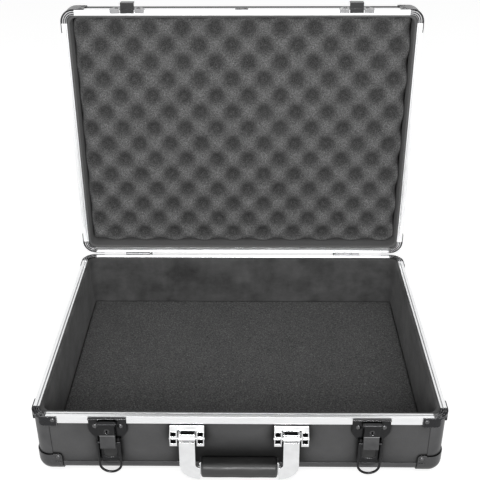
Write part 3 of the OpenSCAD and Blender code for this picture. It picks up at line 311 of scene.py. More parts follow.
def upperEdgeHighlight(tree, soft, bend=(0.02, 0.18), facing=(-0.05, 0.45)):    # painted highlight: 1 on edges that face up on the piece
    turned = addNode(tree, "ShaderNodeVectorTransform", {"Vector": soft}, vector_type="NORMAL",
                     convert_from="WORLD", convert_to="OBJECT").outputs[0]
    return product(tree, bentEdges(tree, soft, *bend), ramp(tree, parts(tree, turned)[2], *facing))


def occlusionShade(tree, reach, dark, own=True, band=(0.35, 0.92)):    # painted shade: ambient occlusion darkens the colour in a piece's own grooves, or at seams
    node = addNode(tree, "ShaderNodeAmbientOcclusion", {"Distance": reach}, samples=12, only_local=own)
    return ramp(tree, node.outputs["AO"], *band, dark, 1.0)


# laminate on the panels

laminate = {
    "tone": (0.060, 0.060, 0.061), "cloudSize": 0.035, "cloudBand": (0.35, 0.65), "cloudLight": (0.88, 1.10),
    "fineSize": 0.00045, "fineLight": (-0.10, 0.10),
    "seam": {"reach": 0.003, "dark": 0.10, "own": False, "band": (0.50, 0.88)},
    "handleShadow": {"reach": 0.034, "dark": 0.02, "own": False, "band": (0.60, 0.97)},    # painted shadow behind the handle
    "roughness": 0.24, "roughReach": (-0.03, 0.04), "handleShadowRough": 0.5, "gloss": 1.40,
    "pebble": 0.0011, "fineHeight": 0.4, "relief": 0.00008, "reliefStrength": 0.8,
}


def laminateFinish(p):
    material, tree, surface, where = newFinish("pebbledLaminate")
    pebble = cells(tree, where, p["pebble"], "SMOOTH_F1")
    fine = grain(tree, where, p["fineSize"], 2)
    cloud = grain(tree, where, p["cloudSize"], 3)
    light = calc(tree, "ADD", ramp(tree, cloud, *p["cloudBand"], *p["cloudLight"]),
                 spread(tree, fine, *p["fineLight"]))
    # painted shade at the seams and a painted shadow behind the handle darken the laminate's colour
    handleShadow = occlusionShade(tree, **p["handleShadow"])
    light = calc(tree, "MULTIPLY", light, calc(tree, "MULTIPLY", occlusionShade(tree, **p["seam"]), handleShadow))
    rough = calc(tree, "ADD", about(tree, cloud, p["roughness"], p["roughReach"]),
                 calc(tree, "MULTIPLY", calc(tree, "SUBTRACT", 1.0, handleShadow), p["handleShadowRough"]))
    height = calc(tree, "ADD", pebble, calc(tree, "MULTIPLY", fine, p["fineHeight"]))
    setSurface(tree, surface, baseColor=shade(tree, p["tone"], light), roughness=rough,
               normal=bump(tree, height, p["relief"], p["reliefStrength"]))
    surface.inputs["IOR"].default_value = p["gloss"]
    return material


# black coat on the posts, trims, caps and ribbed corners

# painted shade at the seams of the black coat
coatSeamShade = {"reach": 0.0022, "dark": 0.06, "own": False, "band": (0.52, 0.90)}

frameBlack = {
    "tone": (0.105, 0.105, 0.107), "worn": (0.20, 0.20, 0.205), "wornShare": 0.35, "wornSize": 0.006,
    "wornBand": (0.42, 0.62), "edge": 0.0005, "mottleSize": 0.02, "mottleBand": (0.35, 0.65),
    "mottleLight": (0.90, 1.12), "seam": coatSeamShade, "roughness": 0.36, "roughReach": (-0.04, 0.08),
    "reliefSize": 0.0006, "relief": 0.00003, "reliefStrength": 0.6,
}
capBlack = {
    "tone": (0.095, 0.095, 0.097), "worn": (0.17, 0.17, 0.175), "wornShare": 0.35, "wornSize": 0.004,
    "wornBand": (0.35, 0.55), "edge": 0.0005, "mottleSize": 0.0008, "mottleBand": noiseBand,
    "mottleLight": (0.85, 1.15), "seam": dict(coatSeamShade, dark=0.05), "roughness": 0.30,
    "roughReach": (-0.03, 0.08), "relief": 0.00004, "reliefStrength": 0.6,
}
# painted highlight: the ribbed corners' edges and rib tops take a near-white tone
ribbedBlack = dict(
    capBlack, tone=(0.040, 0.040, 0.042), worn=(0.80, 0.80, 0.81), wornShare=0.8, edge=0.0006, roughness=0.24,
    halfWidth=shell["width"] / 2, halfDepth=shell["depth"] / 2, corner=0.015,    # the case's plan
    ribPitch=0.0024, ribStart=-0.0012, ribFirst=0.0006, ribLast=0.0064, ribFade=0.0004,
    ribMiddle=0.25, ribTop=(0.27, 0.16),                 # shares of the pitch
)


def ribHighlights(tree, where, p, toPlan):    # painted highlight: 1 along the tops of the ribs that follow a corner's round
    backward, offset = toPlan
    plan = (parts(tree, where)[0], calc(tree, "ADD", dotProduct(tree, where, backward), offset))
    past = [calc(tree, "MAXIMUM", calc(tree, "SUBTRACT", calc(tree, "ABSOLUTE", v), half - p["corner"]), 0.0)
            for v, half in zip(plan, (p["halfWidth"], p["halfDepth"]))]
    inward = calc(tree, "SUBTRACT", p["corner"], diagonal(tree, *past))
    ribs = calc(tree, "DIVIDE", calc(tree, "SUBTRACT", inward, p["ribStart"]), p["ribPitch"])
    turn = calc(tree, "FRACT", ribs)
    top = ramp(tree, calc(tree, "ABSOLUTE", calc(tree, "SUBTRACT", turn, p["ribMiddle"])), *p["ribTop"])
    inside = product(tree, ramp(tree, inward, p["ribFirst"], p["ribFirst"] + p["ribFade"]),
                     ramp(tree, inward, p["ribLast"] + p["ribFade"], p["ribLast"]))
    return product(tree, top, inside)


def coatFinish(name, p, toPlan=None):
    material, tree, surface, where = newFinish(name)
    soft = softEdge(tree, p["edge"])
    # edge wear on posts, trims and caps; on the ribbed corners the same edges and the rib tops carry painted
    # highlights
    patches = ramp(tree, grain(tree, where, p["wornSize"], 3), *p["wornBand"])
    worn = calc(tree, "MULTIPLY", bentEdges(tree, soft), patches, clamp=True)
    if toPlan:
        worn = calc(tree, "MAXIMUM", worn, ribHighlights(tree, where, p, toPlan))
    mottle = grain(tree, where, p["mottleSize"], 3)
    # painted shade at the seams darkens the coat's colour
    base = shade(tree, p["tone"], product(tree, ramp(tree, mottle, *p["mottleBand"], *p["mottleLight"]),
                                          occlusionShade(tree, **p["seam"])))
    fine = grain(tree, where, p["reliefSize"], 2) if "reliefSize" in p else mottle
    setSurface(tree, surface, metallic=1.0, roughness=about(tree, mottle, p["roughness"], p["roughReach"]),
               baseColor=blendTone(tree, product(tree, worn, p["wornShare"]), base, p["worn"]),
               normal=bump(tree, fine, p["relief"], p["reliefStrength"], soft))
    return material


# drawn aluminium of the rims

rimMetal = {
    "tone": (0.92, 0.925, 0.93), "lineSize": 0.00035, "lineLight": (-0.04, 0.03), "cloudSize": 0.03,
    "cloudLight": (0.96, 1.01), "grooves": {"reach": 0.0025, "dark": 0.70}, "edge": 0.0003,
    "roughness": 0.30, "roughReach": (-0.05, 0.07), "relief": 0.000004, "reliefStrength": 0.3, "drawn": 0.004,
}


def rimFinish(name, p, axis):    # fine lines along the axis that the rim was drawn on
    material, tree, surface, where = newFinish(name)
    stretch = [p["drawn"] if i == axis else 1 for i in range(3)]
    lines = grain(tree, where, p["lineSize"], 3, stretch)
    cloud = grain(tree, where, p["cloudSize"], 2)
    light = calc(tree, "ADD", spread(tree, lines, *p["lineLight"]), spread(tree, cloud, *p["cloudLight"]))
    # painted shade in the rim's grooves
    light = product(tree, light, occlusionShade(tree, **p["grooves"]))
    setSurface(tree, surface, metallic=1.0, baseColor=shade(tree, p["tone"], light),
               roughness=about(tree, lines, p["roughness"], p["roughReach"]),
               normal=bump(tree, lines, p["relief"], p["reliefStrength"], softEdge(tree, p["edge"])))
    return material


# plated metal of the fittings

plateMarksAndPaintedLight = {
    "metallic": 1.0, "fineSize": 0.0015, "fineRough": (-0.02, 0.03), "lineSize": 0.0005,
    "drawn": (0.15, 1, 1), "smearSize": 0.012, "smearLight": (0.94, 1.05), "smearRough": (-0.03, 0.06),
    "scratch": 0.00003, "scratchStrength": 0.5, "grooveReach": 0.005, "wornShare": 0.9,
}
plateSeamShade = {"reach": 0.0025, "own": False, "band": (0.45, 0.88)}
brightPlate = dict(plateMarksAndPaintedLight, tone=(0.84, 0.845, 0.85), roughness=0.11, edge=0.0005, grooveShadeDark=0.30,
                   seamShadeDark=0.38)
# worn on the plates, catches and rivets is a painted highlight tone on their upward edges
blackPlate = dict(plateMarksAndPaintedLight, tone=(0.034, 0.034, 0.035), worn=(0.32, 0.32, 0.325), roughness=0.20,
                  edge=0.0006, grooveShadeDark=0.05, seamShadeDark=0.05)
# painted light: the lever's sloped lower face is painted lighter, and the step above it carries a painted
# highlight
leverPlate = dict(blackPlate, fade=(0.0004, 0.0002), smearBand=(0.25, 0.75), shareReach=0.2, paintedBands=(
    {"heights": (0.0452, 0.0616), "tone": (0.110, 0.110, 0.112), "share": 0.8},
    {"heights": (0.0617, 0.0631), "tone": (0.46, 0.46, 0.465), "share": 0.75}))
# painted shade: the hook in the middle of each catch is painted darker than its feet
catchPlate = dict(plateMarksAndPaintedLight, tone=(0.30, 0.30, 0.305), worn=(0.55, 0.55, 0.56), roughness=0.24, edge=0.0006,
                  grooveShadeDark=0.10, middle=0.145, hookHalf=0.0091, hookFade=0.0006, hookShadeTone=(0.050, 0.050, 0.051))
blackRivet = dict(plateMarksAndPaintedLight, tone=(0.120, 0.120, 0.122), worn=(0.45, 0.45, 0.455), roughness=0.16,
                  edge=0.0008, grooveShadeDark=0.05, seamShadeDark=0.03)
hingeMetal = dict(plateMarksAndPaintedLight, tone=(0.30, 0.30, 0.305), roughness=0.28, edge=0.0002, grooveShadeDark=0.1, seamShadeDark=0.02)
lockMetal = dict(plateMarksAndPaintedLight, tone=(0.08, 0.08, 0.082), roughness=0.20, edge=0.0003, grooveShadeDark=0.05, seamShadeDark=0.03)
# painted shadow: the finger recesses are near black, standing in for the shadow in them
scoopPaintedShadow = dict(plateMarksAndPaintedLight, tone=(0.006, 0.006, 0.006), roughness=0.36, edge=0.00005, grooveShadeDark=0.8,
                  metallic=0.0)


def paintedLightBands(tree, where, p, base, smear):    # level bands painted lighter by height, as painted light and highlight
    height = parts(tree, where)[2]
    outer, inner = p["fade"]
    for band in p["paintedBands"]:
        low, high = band["heights"]
        inside = product(tree, ramp(tree, height, low - outer, low + inner),
                         ramp(tree, height, high + outer, high - inner))
        share = ramp(tree, smear, *p["smearBand"], band["share"] - p["shareReach"],
                     band["share"] + p["shareReach"])
        inside = product(tree, inside, share, occlusionShade(tree, dark=0.0, **plateSeamShade))
        base = blendTone(tree, inside, base, band["tone"])
    return base


def plateFinish(name, p):    # polished or black plated metal
    material, tree, surface, where = newFinish(name)
    soft = softEdge(tree, p["edge"])
    fine = grain(tree, where, p["fineSize"], 4)
    lines = grain(tree, where, p["lineSize"], 2, p["drawn"])
    smear = grain(tree, where, p["smearSize"], 3)
    # painted shade in the piece's own grooves
    light = product(tree, spread(tree, smear, *p["smearLight"]), occlusionShade(tree, p["grooveReach"], p["grooveShadeDark"]))
    if "seamShadeDark" in p:    # painted shade where two pieces meet
        light = product(tree, light, occlusionShade(tree, dark=p["seamShadeDark"], **plateSeamShade))
    base = shade(tree, p["tone"], light)
    if "worn" in p:
        # painted highlight on the edges that face up
        highlightEdges = calc(tree, "MULTIPLY", upperEdgeHighlight(tree, soft), p["wornShare"], clamp=True)
        base = blendTone(tree, highlightEdges, base, p["worn"])
    if "hookShadeTone" in p:
        # painted shade on each catch's middle hook
        away = calc(tree, "SUBTRACT", calc(tree, "ABSOLUTE", parts(tree, where)[0]), p["middle"])
        outside = ramp(tree, calc(tree, "ABSOLUTE", away), p["hookHalf"], p["hookHalf"] + p["hookFade"])
        base = blendTone(tree, outside, p["hookShadeTone"], base)
    if "paintedBands" in p:
        base = paintedLightBands(tree, where, p, base, smear)
    rough = calc(tree, "ADD", about(tree, smear, p["roughness"], p["smearRough"]),
                 spread(tree, fine, *p["fineRough"]))
    setSurface(tree, surface, metallic=p["metallic"], baseColor=base, roughness=rough,
               normal=bump(tree, calc(tree, "ADD", lines, fine), p["scratch"],
                           p["scratchStrength"], soft))
    return material


# open-cell foam of the two sheets

openCells = {
    "cell": 0.0014, "poreBand": (0.1, 0.75), "poreLight": (0.52, 1.34),
    "coarse": 1.9, "coarseBand": (0.1, 0.8), "coarseLight": (-0.18, 0.18),    # sizes are shares of a cell
    "dust": 0.6, "dustLight": (-0.26, 0.26), "dustHeight": 0.6,
    "speck": 0.75, "speckBand": (0.60, 0.72), "speckLight": 0.9,
    "cloudSize": 0.025, "cloudLight": (0.94, 1.06), "relief": 0.0007, "reliefStrength": 0.7,
    "roughness": 0.95, "shine": 0.15,
}
# pit is the painted shade at the floors of the hollows
eggFoam = dict(openCells, tone=(0.115, 0.115, 0.115), pit=0.48)
flatFoam = dict(openCells, tone=(0.090, 0.090, 0.090), cell=0.0017, relief=0.0010, pit=1.0)


def foamFinish(name, p):    # light walls round dark pores, and painted shade deep in the hollows
    material, tree, surface, where = newFinish(name)
    pore = cells(tree, where, p["cell"])
    coarse = cells(tree, where, p["cell"] * p["coarse"])
    dust = grain(tree, where, p["cell"] * p["dust"], 3)
    cloud = grain(tree, where, p["cloudSize"], 3)
    speck = ramp(tree, grain(tree, where, p["cell"] * p["speck"], 1, rough=0.3), *p["speckBand"])
    light = calc(tree, "ADD", ramp(tree, pore, *p["poreBand"], *p["poreLight"]),
                 ramp(tree, coarse, *p["coarseBand"], *p["coarseLight"]))
    light = calc(tree, "ADD", light, spread(tree, dust, *p["dustLight"]))
    light = product(tree, light, spread(tree, cloud, *p["cloudLight"]))
    light = calc(tree, "ADD", light, product(tree, speck, p["speckLight"]))
    hollow = addNode(tree, "ShaderNodeAttribute", attribute_name="hollow").outputs["Fac"]
    light = product(tree, light, ramp(tree, hollow, 0.0, 1.0, 1.0, p["pit"]))
    height = calc(tree, "ADD", pore, product(tree, dust, p["dustHeight"]))
    setSurface(tree, surface, baseColor=shade(tree, p["tone"], light), roughness=p["roughness"],
               normal=bump(tree, height, p["relief"], p["reliefStrength"]))
    surface.inputs["Specular IOR Level"].default_value = p["shine"]
    return material


# brushed cloth of the wall linings

plush = {
    "tone": (0.063, 0.063, 0.063), "patchy": 1.7, "patchSize": 0.045, "patchStretch": (1, 1, 1.3),
    "patchLight": 0.26, "streakSize": 0.012, "streakStretch": (1, 1, 0.35), "streakLight": 0.07,
    "nap": 0.0007, "napLight": (-0.12, 0.12), "patchHeight": 2.0, "relief": 0.0002, "reliefStrength": 0.7,
    "roughness": 0.9, "shine": 0.2, "sheenWeight": 0.12, "sheenRoughness": 0.5,
}


def plushFinish(name, p):    # short brushed nap, laid in soft patches
    material, tree, surface, where = newFinish(name)
    patch = grain(tree, where, p["patchSize"], 4, p["patchStretch"], 0.6)
    streak = grain(tree, where, p["streakSize"], 3, p["streakStretch"])
    nap = grain(tree, where, p["nap"], 3)
    patchLight, streakLight = p["patchLight"] * p["patchy"], p["streakLight"] * p["patchy"]
    light = calc(tree, "ADD", spread(tree, patch, 1 - patchLight, 1 + patchLight),
                 spread(tree, streak, -streakLight, streakLight))
    light = calc(tree, "ADD", light, spread(tree, nap, *p["napLight"]))
    height = calc(tree, "ADD", nap, product(tree, patch, p["patchHeight"]))
    setSurface(tree, surface, baseColor=shade(tree, p["tone"], light), roughness=p["roughness"],
               sheenWeight=p["sheenWeight"], sheenRoughness=p["sheenRoughness"],
               normal=bump(tree, height, p["relief"], p["reliefStrength"]))
    surface.inputs["Specular IOR Level"].default_value = p["shine"]
    return material


# leather of the grip

leather = {
    "tone": (0.013, 0.013, 0.013), "cloudSize": 0.012, "cloudLight": (0.85, 1.2), "roughness": 0.44,
    "roughReach": (-0.05, 0.08), "gloss": 1.62, "crackleSize": 0.0016, "crackleBand": (0.0, 0.25),
    "fineSize": 0.0006, "fineHeight": 0.4, "relief": 0.00005, "reliefStrength": 0.7,
}


def leatherFinish(p):
    material, tree, surface, where = newFinish("gripCover")
    crackle = cells(tree, where, p["crackleSize"], "DISTANCE_TO_EDGE")
    fine = grain(tree, where, p["fineSize"], 3)
    cloud = grain(tree, where, p["cloudSize"], 3)
    height = calc(tree, "ADD", ramp(tree, crackle, *p["crackleBand"]), product(tree, fine, p["fineHeight"]))
    setSurface(tree, surface, baseColor=shade(tree, p["tone"], spread(tree, cloud, *p["cloudLight"])),
               roughness=about(tree, cloud, p["roughness"], p["roughReach"]),
               normal=bump(tree, height, p["relief"], p["reliefStrength"]))
    surface.inputs["IOR"].default_value = p["gloss"]
    return material


# each CAD node's finish

finishes = {
    "laminate": laminateFinish(laminate),
    "frame": coatFinish("blackFrame", frameBlack),
    "cap": coatFinish("paintedCap", capBlack),
    "ribbedBase": coatFinish("ribbedBase", ribbedBlack, basePlan),
    "ribbedLid": coatFinish("ribbedLid", ribbedBlack, lidPlan),
    "rimAcross": rimFinish("rimAcross", rimMetal, 0),
    "rimFrontToBack": rimFinish("rimFrontToBack", rimMetal, 1),
    "rimUpright": rimFinish("rimUpright", rimMetal, 2),
    "bright": plateFinish("brightPlate", brightPlate),
    "blackSteel": plateFinish("blackPlate", blackPlate),
    "lever": plateFinish("leverPlate", leverPlate),
    "catch": plateFinish("catchPlate", catchPlate),
    "rivet": plateFinish("blackRivet", blackRivet),
    "hinge": plateFinish("hingeMetal", hingeMetal),
    "lock": plateFinish("lockMetal", lockMetal),
    "scoop": plateFinish("scoopPaintedShadow", scoopPaintedShadow),
    "eggFoam": foamFinish("eggFoam", eggFoam),
    "flatFoam": foamFinish("flatFoam", flatFoam),
    "basePlush": plushFinish("basePlush", plush),
    "lidPlush": plushFinish("lidPlush", dict(plush, tone=(0.115, 0.115, 0.115), patchy=0.25)),
    "grip": leatherFinish(leather),
}

nodesOfFinish = {
    "laminate": ("base_floor_panel", "base_front_panel", "base_rear_panel", "base_left_panel",
                 "base_right_panel", "lid_top_panel", "lid_front_panel", "lid_rear_panel", "lid_left_panel",
                 "lid_right_panel"),
    "frame": ("base_corner_posts", "base_edge_trims", "lid_corner_posts", "lid_edge_trims"),
    "cap": ("base_bottom_caps", "lid_top_caps"),
    "ribbedBase": ("base_rim_corners",),
    "ribbedLid": ("lid_rim_corners",),
    "rimAcross": ("base_front_rim", "base_rear_rim", "lid_front_rim", "lid_rear_rim"),
    "rimFrontToBack": ("base_side_rims",),
    "rimUpright": ("lid_side_rims",),
    "bright": ("left_handle_bracket", "right_handle_bracket", "left_handle_arm", "right_handle_arm",
               "handle_screws", "handle_pivot_pins", "bracket_rivets", "grip_core"),
    "lever": ("left_latch_lever", "right_latch_lever"),
    "blackSteel": ("left_latch_plate", "right_latch_plate", "left_latch_bail", "right_latch_bail",
                   "lid_centre_plate", "latch_axles"),
    "catch": ("left_catch", "right_catch"),
    "rivet": ("base_corner_rivets", "lid_corner_rivets", "latch_rivets", "catch_rivets",
              "centre_plate_rivets", "hinge_base_rivets", "hinge_lid_rivets", "hinge_pins"),
    "hinge": ("hinge_base_leaves", "hinge_lid_leaves"),
    "lock": ("left_lock_cylinder", "right_lock_cylinder"),
}

for finish, names in nodesOfFinish.items():
    for name in names:
        if not nodes[name].material_slots:
            nodes[name].data.materials.append(finishes[finish])
        for slot in nodes[name].material_slots:
            slot.material = finishes[finish]
print("finishes: %d materials" % len(finishes))


# foam sheets

sheetRules = {
    "seedStep": 7.31, "noiseScale": 16.0, "noiseDetail": 2.0,
    "squareMean": 0.25,             # of the wave's square, so that rounding keeps the sheet's thickness
    "hollowBand": (0.50, -0.66),    # painted shade, from the lumps' shoulders down to the floors of the hollows
    "edgeReach": 0.02,              # how far in from the cut edge the sheet is uneven
    "bunchReach": 0.03,             # and how far up from the lower edge the last row bunches
}


def soften(tree, distance, reach):    # 1 at an edge, falling to 0 at reach from it
    return calc(tree, "SUBTRACT", 1.0, calc(tree, "DIVIDE", distance, reach), clamp=True)


def foamSheetTree(p):
    tree = bpy.data.node_groups.new("foamSheet", "GeometryNodeTree")
    face = tree.interface
    face.new_socket("Geometry", in_out="INPUT", socket_type="NodeSocketGeometry")
    face.new_socket("Geometry", in_out="OUTPUT", socket_type="NodeSocketGeometry")
    for name in ("Width", "Depth", "Thickness", "Wave Height", "Pitch Across", "Pitch Up", "Peak X", "Peak Y",
                 "Lump Roundness", "Corner Radius", "Corner Radius Low", "Edge Round", "Edge Waver",
                 "Surface Waver", "Squeeze Low"):
        face.new_socket(name, in_out="INPUT", socket_type="NodeSocketFloat")
    for name in ("Columns", "Rows", "Layers", "Seed"):
        face.new_socket(name, in_out="INPUT", socket_type="NodeSocketInt")
    face.new_socket("Finish", in_out="INPUT", socket_type="NodeSocketMaterial")
    given = addNode(tree, "NodeGroupInput").outputs
    size = addNode(tree, "ShaderNodeCombineXYZ", {"X": given["Width"], "Y": given["Depth"],
                                                  "Z": given["Thickness"]})
    block = addNode(tree, "GeometryNodeMeshCube", {
        "Size": size.outputs[0], "Vertices X": given["Columns"], "Vertices Y": given["Rows"],
        "Vertices Z": given["Layers"]})
    place = addNode(tree, "GeometryNodeInputPosition").outputs[0]
    x, y, z = parts(tree, place)
    half = [calc(tree, "MULTIPLY", given[n], 0.5) for n in ("Width", "Depth")]

    # how far up the sheet a point is, from 0 at the glued back to 1 at the face
    rise = calc(tree, "ADD", calc(tree, "DIVIDE", z, given["Thickness"]), 0.5)
    # the last row bunches up where the sheet is pressed in at its lower edge
    bunch = soften(tree, calc(tree, "ADD", y, half[1]), p["bunchReach"])
    wrung = calc(tree, "SUBTRACT", y, product(tree, bunch, bunch, given["Squeeze Low"]))
    turns = []
    for value, peak, pitch in ((x, "Peak X", "Pitch Across"), (wrung, "Peak Y", "Pitch Up")):
        fromPeak = calc(tree, "MULTIPLY", calc(tree, "SUBTRACT", value, given[peak]), 2 * math.pi)
        turns.append(calc(tree, "COSINE", calc(tree, "DIVIDE", fromPeak, given[pitch])))
    wave = product(tree, *turns)
    # lumps swell rounder and hollows draw in tighter than a plain wave
    aboveMean = calc(tree, "SUBTRACT", product(tree, wave, wave), p["squareMean"])
    rounding = product(tree, aboveMean, given["Lump Roundness"])
    swell = calc(tree, "SUBTRACT", wave, rounding)
    lump = product(tree, swell, given["Wave Height"])
    waves = calc(tree, "GREATER_THAN", given["Wave Height"], 0.0)
    # painted shade: how deep in a hollow each point is, stored for the foam's finish to darken
    hollow = product(tree, waves, ramp(tree, swell, *p["hollowBand"]))

    # soft noise that is the same each run
    jog = calc(tree, "MULTIPLY", given["Seed"], p["seedStep"])
    noiseAt = addNode(tree, "ShaderNodeTexNoise", {"Vector": place, "W": jog, "Scale": p["noiseScale"],
                                                   "Detail": p["noiseDetail"]}, noise_dimensions="4D")
    drift = calc(tree, "SUBTRACT", noiseAt.outputs[0], 0.5)

    # a rounded plan: the corner squares are drawn in to quarter discs
    low = calc(tree, "LESS_THAN", y, 0.0)
    corner = addNode(tree, "ShaderNodeMix", {"Factor": low, "A": given["Corner Radius"],
                                             "B": given["Corner Radius Low"]})
    edge = [calc(tree, "SUBTRACT", half[i], corner.outputs[0]) for i in (0, 1)]
    away = [calc(tree, "ABSOLUTE", v) for v in (x, y)]
    past = [calc(tree, "MAXIMUM", calc(tree, "SUBTRACT", away[i], edge[i]), 0.0) for i in (0, 1)]
    reach = calc(tree, "MAXIMUM", diagonal(tree, *past), 1e-6)    # never nothing, as it divides
    draw = calc(tree, "DIVIDE", calc(tree, "MAXIMUM", *past), reach)
    inner = [calc(tree, "MINIMUM", away[i], edge[i]) for i in (0, 1)]
    drawn = [calc(tree, "ADD", inner[i], product(tree, past[i], draw)) for i in (0, 1)]
    newX, newY = (product(tree, calc(tree, "SIGN", v), drawn[i]) for i, v in ((0, x), (1, y)))

    # the cut edge is a little uneven, and the face rolls over to it
    toEdge = calc(tree, "MINIMUM", *(calc(tree, "SUBTRACT", half[i], away[i]) for i in (0, 1)))
    near = soften(tree, toEdge, p["edgeReach"])
    unevenness = calc(tree, "MULTIPLY", calc(tree, "ADD", drift, 0.5, clamp=True),
                      calc(tree, "DIVIDE", given["Edge Waver"], half[1]))
    pull = calc(tree, "SUBTRACT", 1.0, calc(tree, "MULTIPLY", product(tree, near, near), unevenness))
    fall = soften(tree, toEdge, given["Edge Round"])
    drop = product(tree, fall, fall, given["Edge Round"])
    lift = calc(tree, "SUBTRACT", calc(tree, "ADD", lump, product(tree, drift, given["Surface Waver"])), drop)
    moved = addNode(tree, "ShaderNodeCombineXYZ", {
        "X": product(tree, newX, pull), "Y": product(tree, newY, pull),
        "Z": calc(tree, "ADD", z, product(tree, lift, rise))})
    shaped = addNode(tree, "GeometryNodeSetPosition", {"Geometry": block.outputs["Mesh"],
                                                       "Position": moved.outputs[0]})
    marked = addNode(tree, "GeometryNodeStoreNamedAttribute",
                     {"Geometry": shaped.outputs[0], "Name": "hollow", "Value": hollow})
    smooth = addNode(tree, "GeometryNodeSetShadeSmooth", {"Geometry": marked.outputs[0]})
    real = addNode(tree, "GeometryNodeRealizeInstances", {"Geometry": smooth.outputs[0]})
    painted = addNode(tree, "GeometryNodeSetMaterial",
                      {"Geometry": real.outputs[0], "Material": given["Finish"]})
    addNode(tree, "NodeGroupOutput", {"Geometry": painted.outputs[0]})
    return tree


def growByTree(name, tree, settings, place):    # runs a tree and keeps its result as a plain mesh
    seedMesh = bpy.data.meshes.new(name + "Seed")
    seedObject = bpy.data.objects.new(name + "Seed", seedMesh)
    scene.collection.objects.link(seedObject)
    modifier = seedObject.modifiers.new("shape", "NODES")
    modifier.node_group = tree
    for item in tree.interface.items_tree:
        if item.item_type == "SOCKET" and item.in_out == "INPUT" and item.name in settings:
            modifier[item.identifier] = settings[item.name]
    evaluated = seedObject.evaluated_get(bpy.context.evaluated_depsgraph_get())
    mesh = bpy.data.meshes.new_from_object(evaluated)
    mesh.name = name
    bpy.data.objects.remove(seedObject)
    mesh.transform(place)
    piece = bpy.data.objects.new(name, mesh)
    scene.collection.objects.link(piece)
    return piece


foamSheet = foamSheetTree(sheetRules)
foamBack = 0.0060    # where both sheets are glued, above each shell's outer face

lidFoamSizes = {
    "Width": 0.4382, "Depth": 0.3262, "Thickness": 0.0148, "Wave Height": 0.0062,
    "Pitch Across": 0.043, "Pitch Up": 0.0458, "Peak X": -0.0132, "Peak Y": 0.0090, "Lump Roundness": 0.10,
    "Corner Radius": 0.008, "Corner Radius Low": 0.009, "Edge Round": 0.0025, "Edge Waver": 0.0016,
    "Surface Waver": 0.0012, "Squeeze Low": 0.0042, "Columns": 217, "Rows": 161, "Layers": 6, "Seed": 3,
    "Finish": finishes["eggFoam"],
}
lidFoam = growByTree("lidFoam", foamSheet, lidFoamSizes,
                     lidPlace @ Matrix.Translation((0, 0, foamBack + lidFoamSizes["Thickness"] / 2)))
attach(lidFoam, "lid")
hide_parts("lid_foam")

floorFoamSizes = {
    "Width": 0.4362, "Depth": 0.3242, "Thickness": 0.0050, "Wave Height": 0.0,
    "Pitch Across": 0.043, "Pitch Up": 0.0458, "Peak X": 0.0, "Peak Y": 0.0, "Lump Roundness": 0.0,
    "Corner Radius": 0.004, "Corner Radius Low": 0.004, "Edge Round": 0.0012, "Edge Waver": 0.0010,
    "Surface Waver": 0.0008, "Squeeze Low": 0.0, "Columns": 175, "Rows": 131, "Layers": 4, "Seed": 8,
    "Finish": finishes["flatFoam"],
}
floorFoam = growByTree("floorFoam", foamSheet, floorFoamSizes,
                       basePlace @ Matrix.Translation((0, 0, foamBack + floorFoamSizes["Thickness"] / 2)))
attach(floorFoam, "base")
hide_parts("base_floor_foam")
print("foam: egg-crate sheet in the lid, flat sheet on the floor")


def toPiece(shape, name, finish, place):    # an object at the origin, with its place in its mesh
    mesh = bpy.data.meshes.new(name)
    shape.to_mesh(mesh)
    shape.free()
    mesh.transform(place)
    mesh.materials.append(finish)
    piece = bpy.data.objects.new(name, mesh)
    scene.collection.objects.link(piece)
    return piece


def closeLoops(shape, loops):    # joins each loop to the next and the last to the first, and smooths
    for a, b in zip(loops, loops[1:] + loops[:1]):
        for i in range(len(a)):
            k = (i + 1) % len(a)
            shape.faces.new((a[i], a[k], b[k], b[i]))
    bmesh.ops.recalc_face_normals(shape, faces=shape.faces)
    for side in shape.faces:
        side.smooth = True


# wall linings

liningSteps = {"corner": 10, "long": 42, "short": 32, "waverAcross": 14, "waverUp": 22}

# the rows go round a wall's section: inset from the rim's outer face, height, corner radius, softness
baseLining = {"seed": 2.0, "waver": 0.0009, "rows": (
    (0.0055, 0.0061, 0.0095, 0), (0.0055, 0.0748, 0.0095, 0), (0.0072, 0.0749, 0.0078, 0),
    (0.0072, 0.0815, 0.0078, 0), (0.0080, 0.0818, 0.0080, 0), (0.0100, 0.0818, 0.0095, 0),
    (0.0107, 0.0815, 0.0105, 0), (0.01105, 0.0806, 0.0120, 0.2), (0.0111, 0.0740, 0.0135, 0.7),
    (0.0111, 0.0620, 0.0145, 1), (0.0111, 0.0480, 0.0145, 1), (0.0111, 0.0340, 0.0125, 1),
    (0.0111, 0.0220, 0.0085, 0.8), (0.0111, 0.0140, 0.0050, 0.4), (0.0111, 0.0105, 0.0035, 0),
    (0.0111, 0.0062, 0.0035, 0))}
lidLining = {"seed": 9.0, "waver": 0.0004, "rows": (
    (0.0055, 0.0061, 0.0095, 0), (0.0055, 0.0298, 0.0095, 0), (0.0072, 0.0299, 0.0078, 0),
    (0.0072, 0.0365, 0.0078, 0), (0.0078, 0.0368, 0.0080, 0), (0.0090, 0.0368, 0.0082, 0),
    (0.0097, 0.0365, 0.0085, 0), (0.01005, 0.0357, 0.0090, 0.2), (0.0101, 0.0320, 0.0090, 1),
    (0.0101, 0.0240, 0.0090, 1), (0.0101, 0.0150, 0.0090, 0.5), (0.0101, 0.0062, 0.0090, 0))}


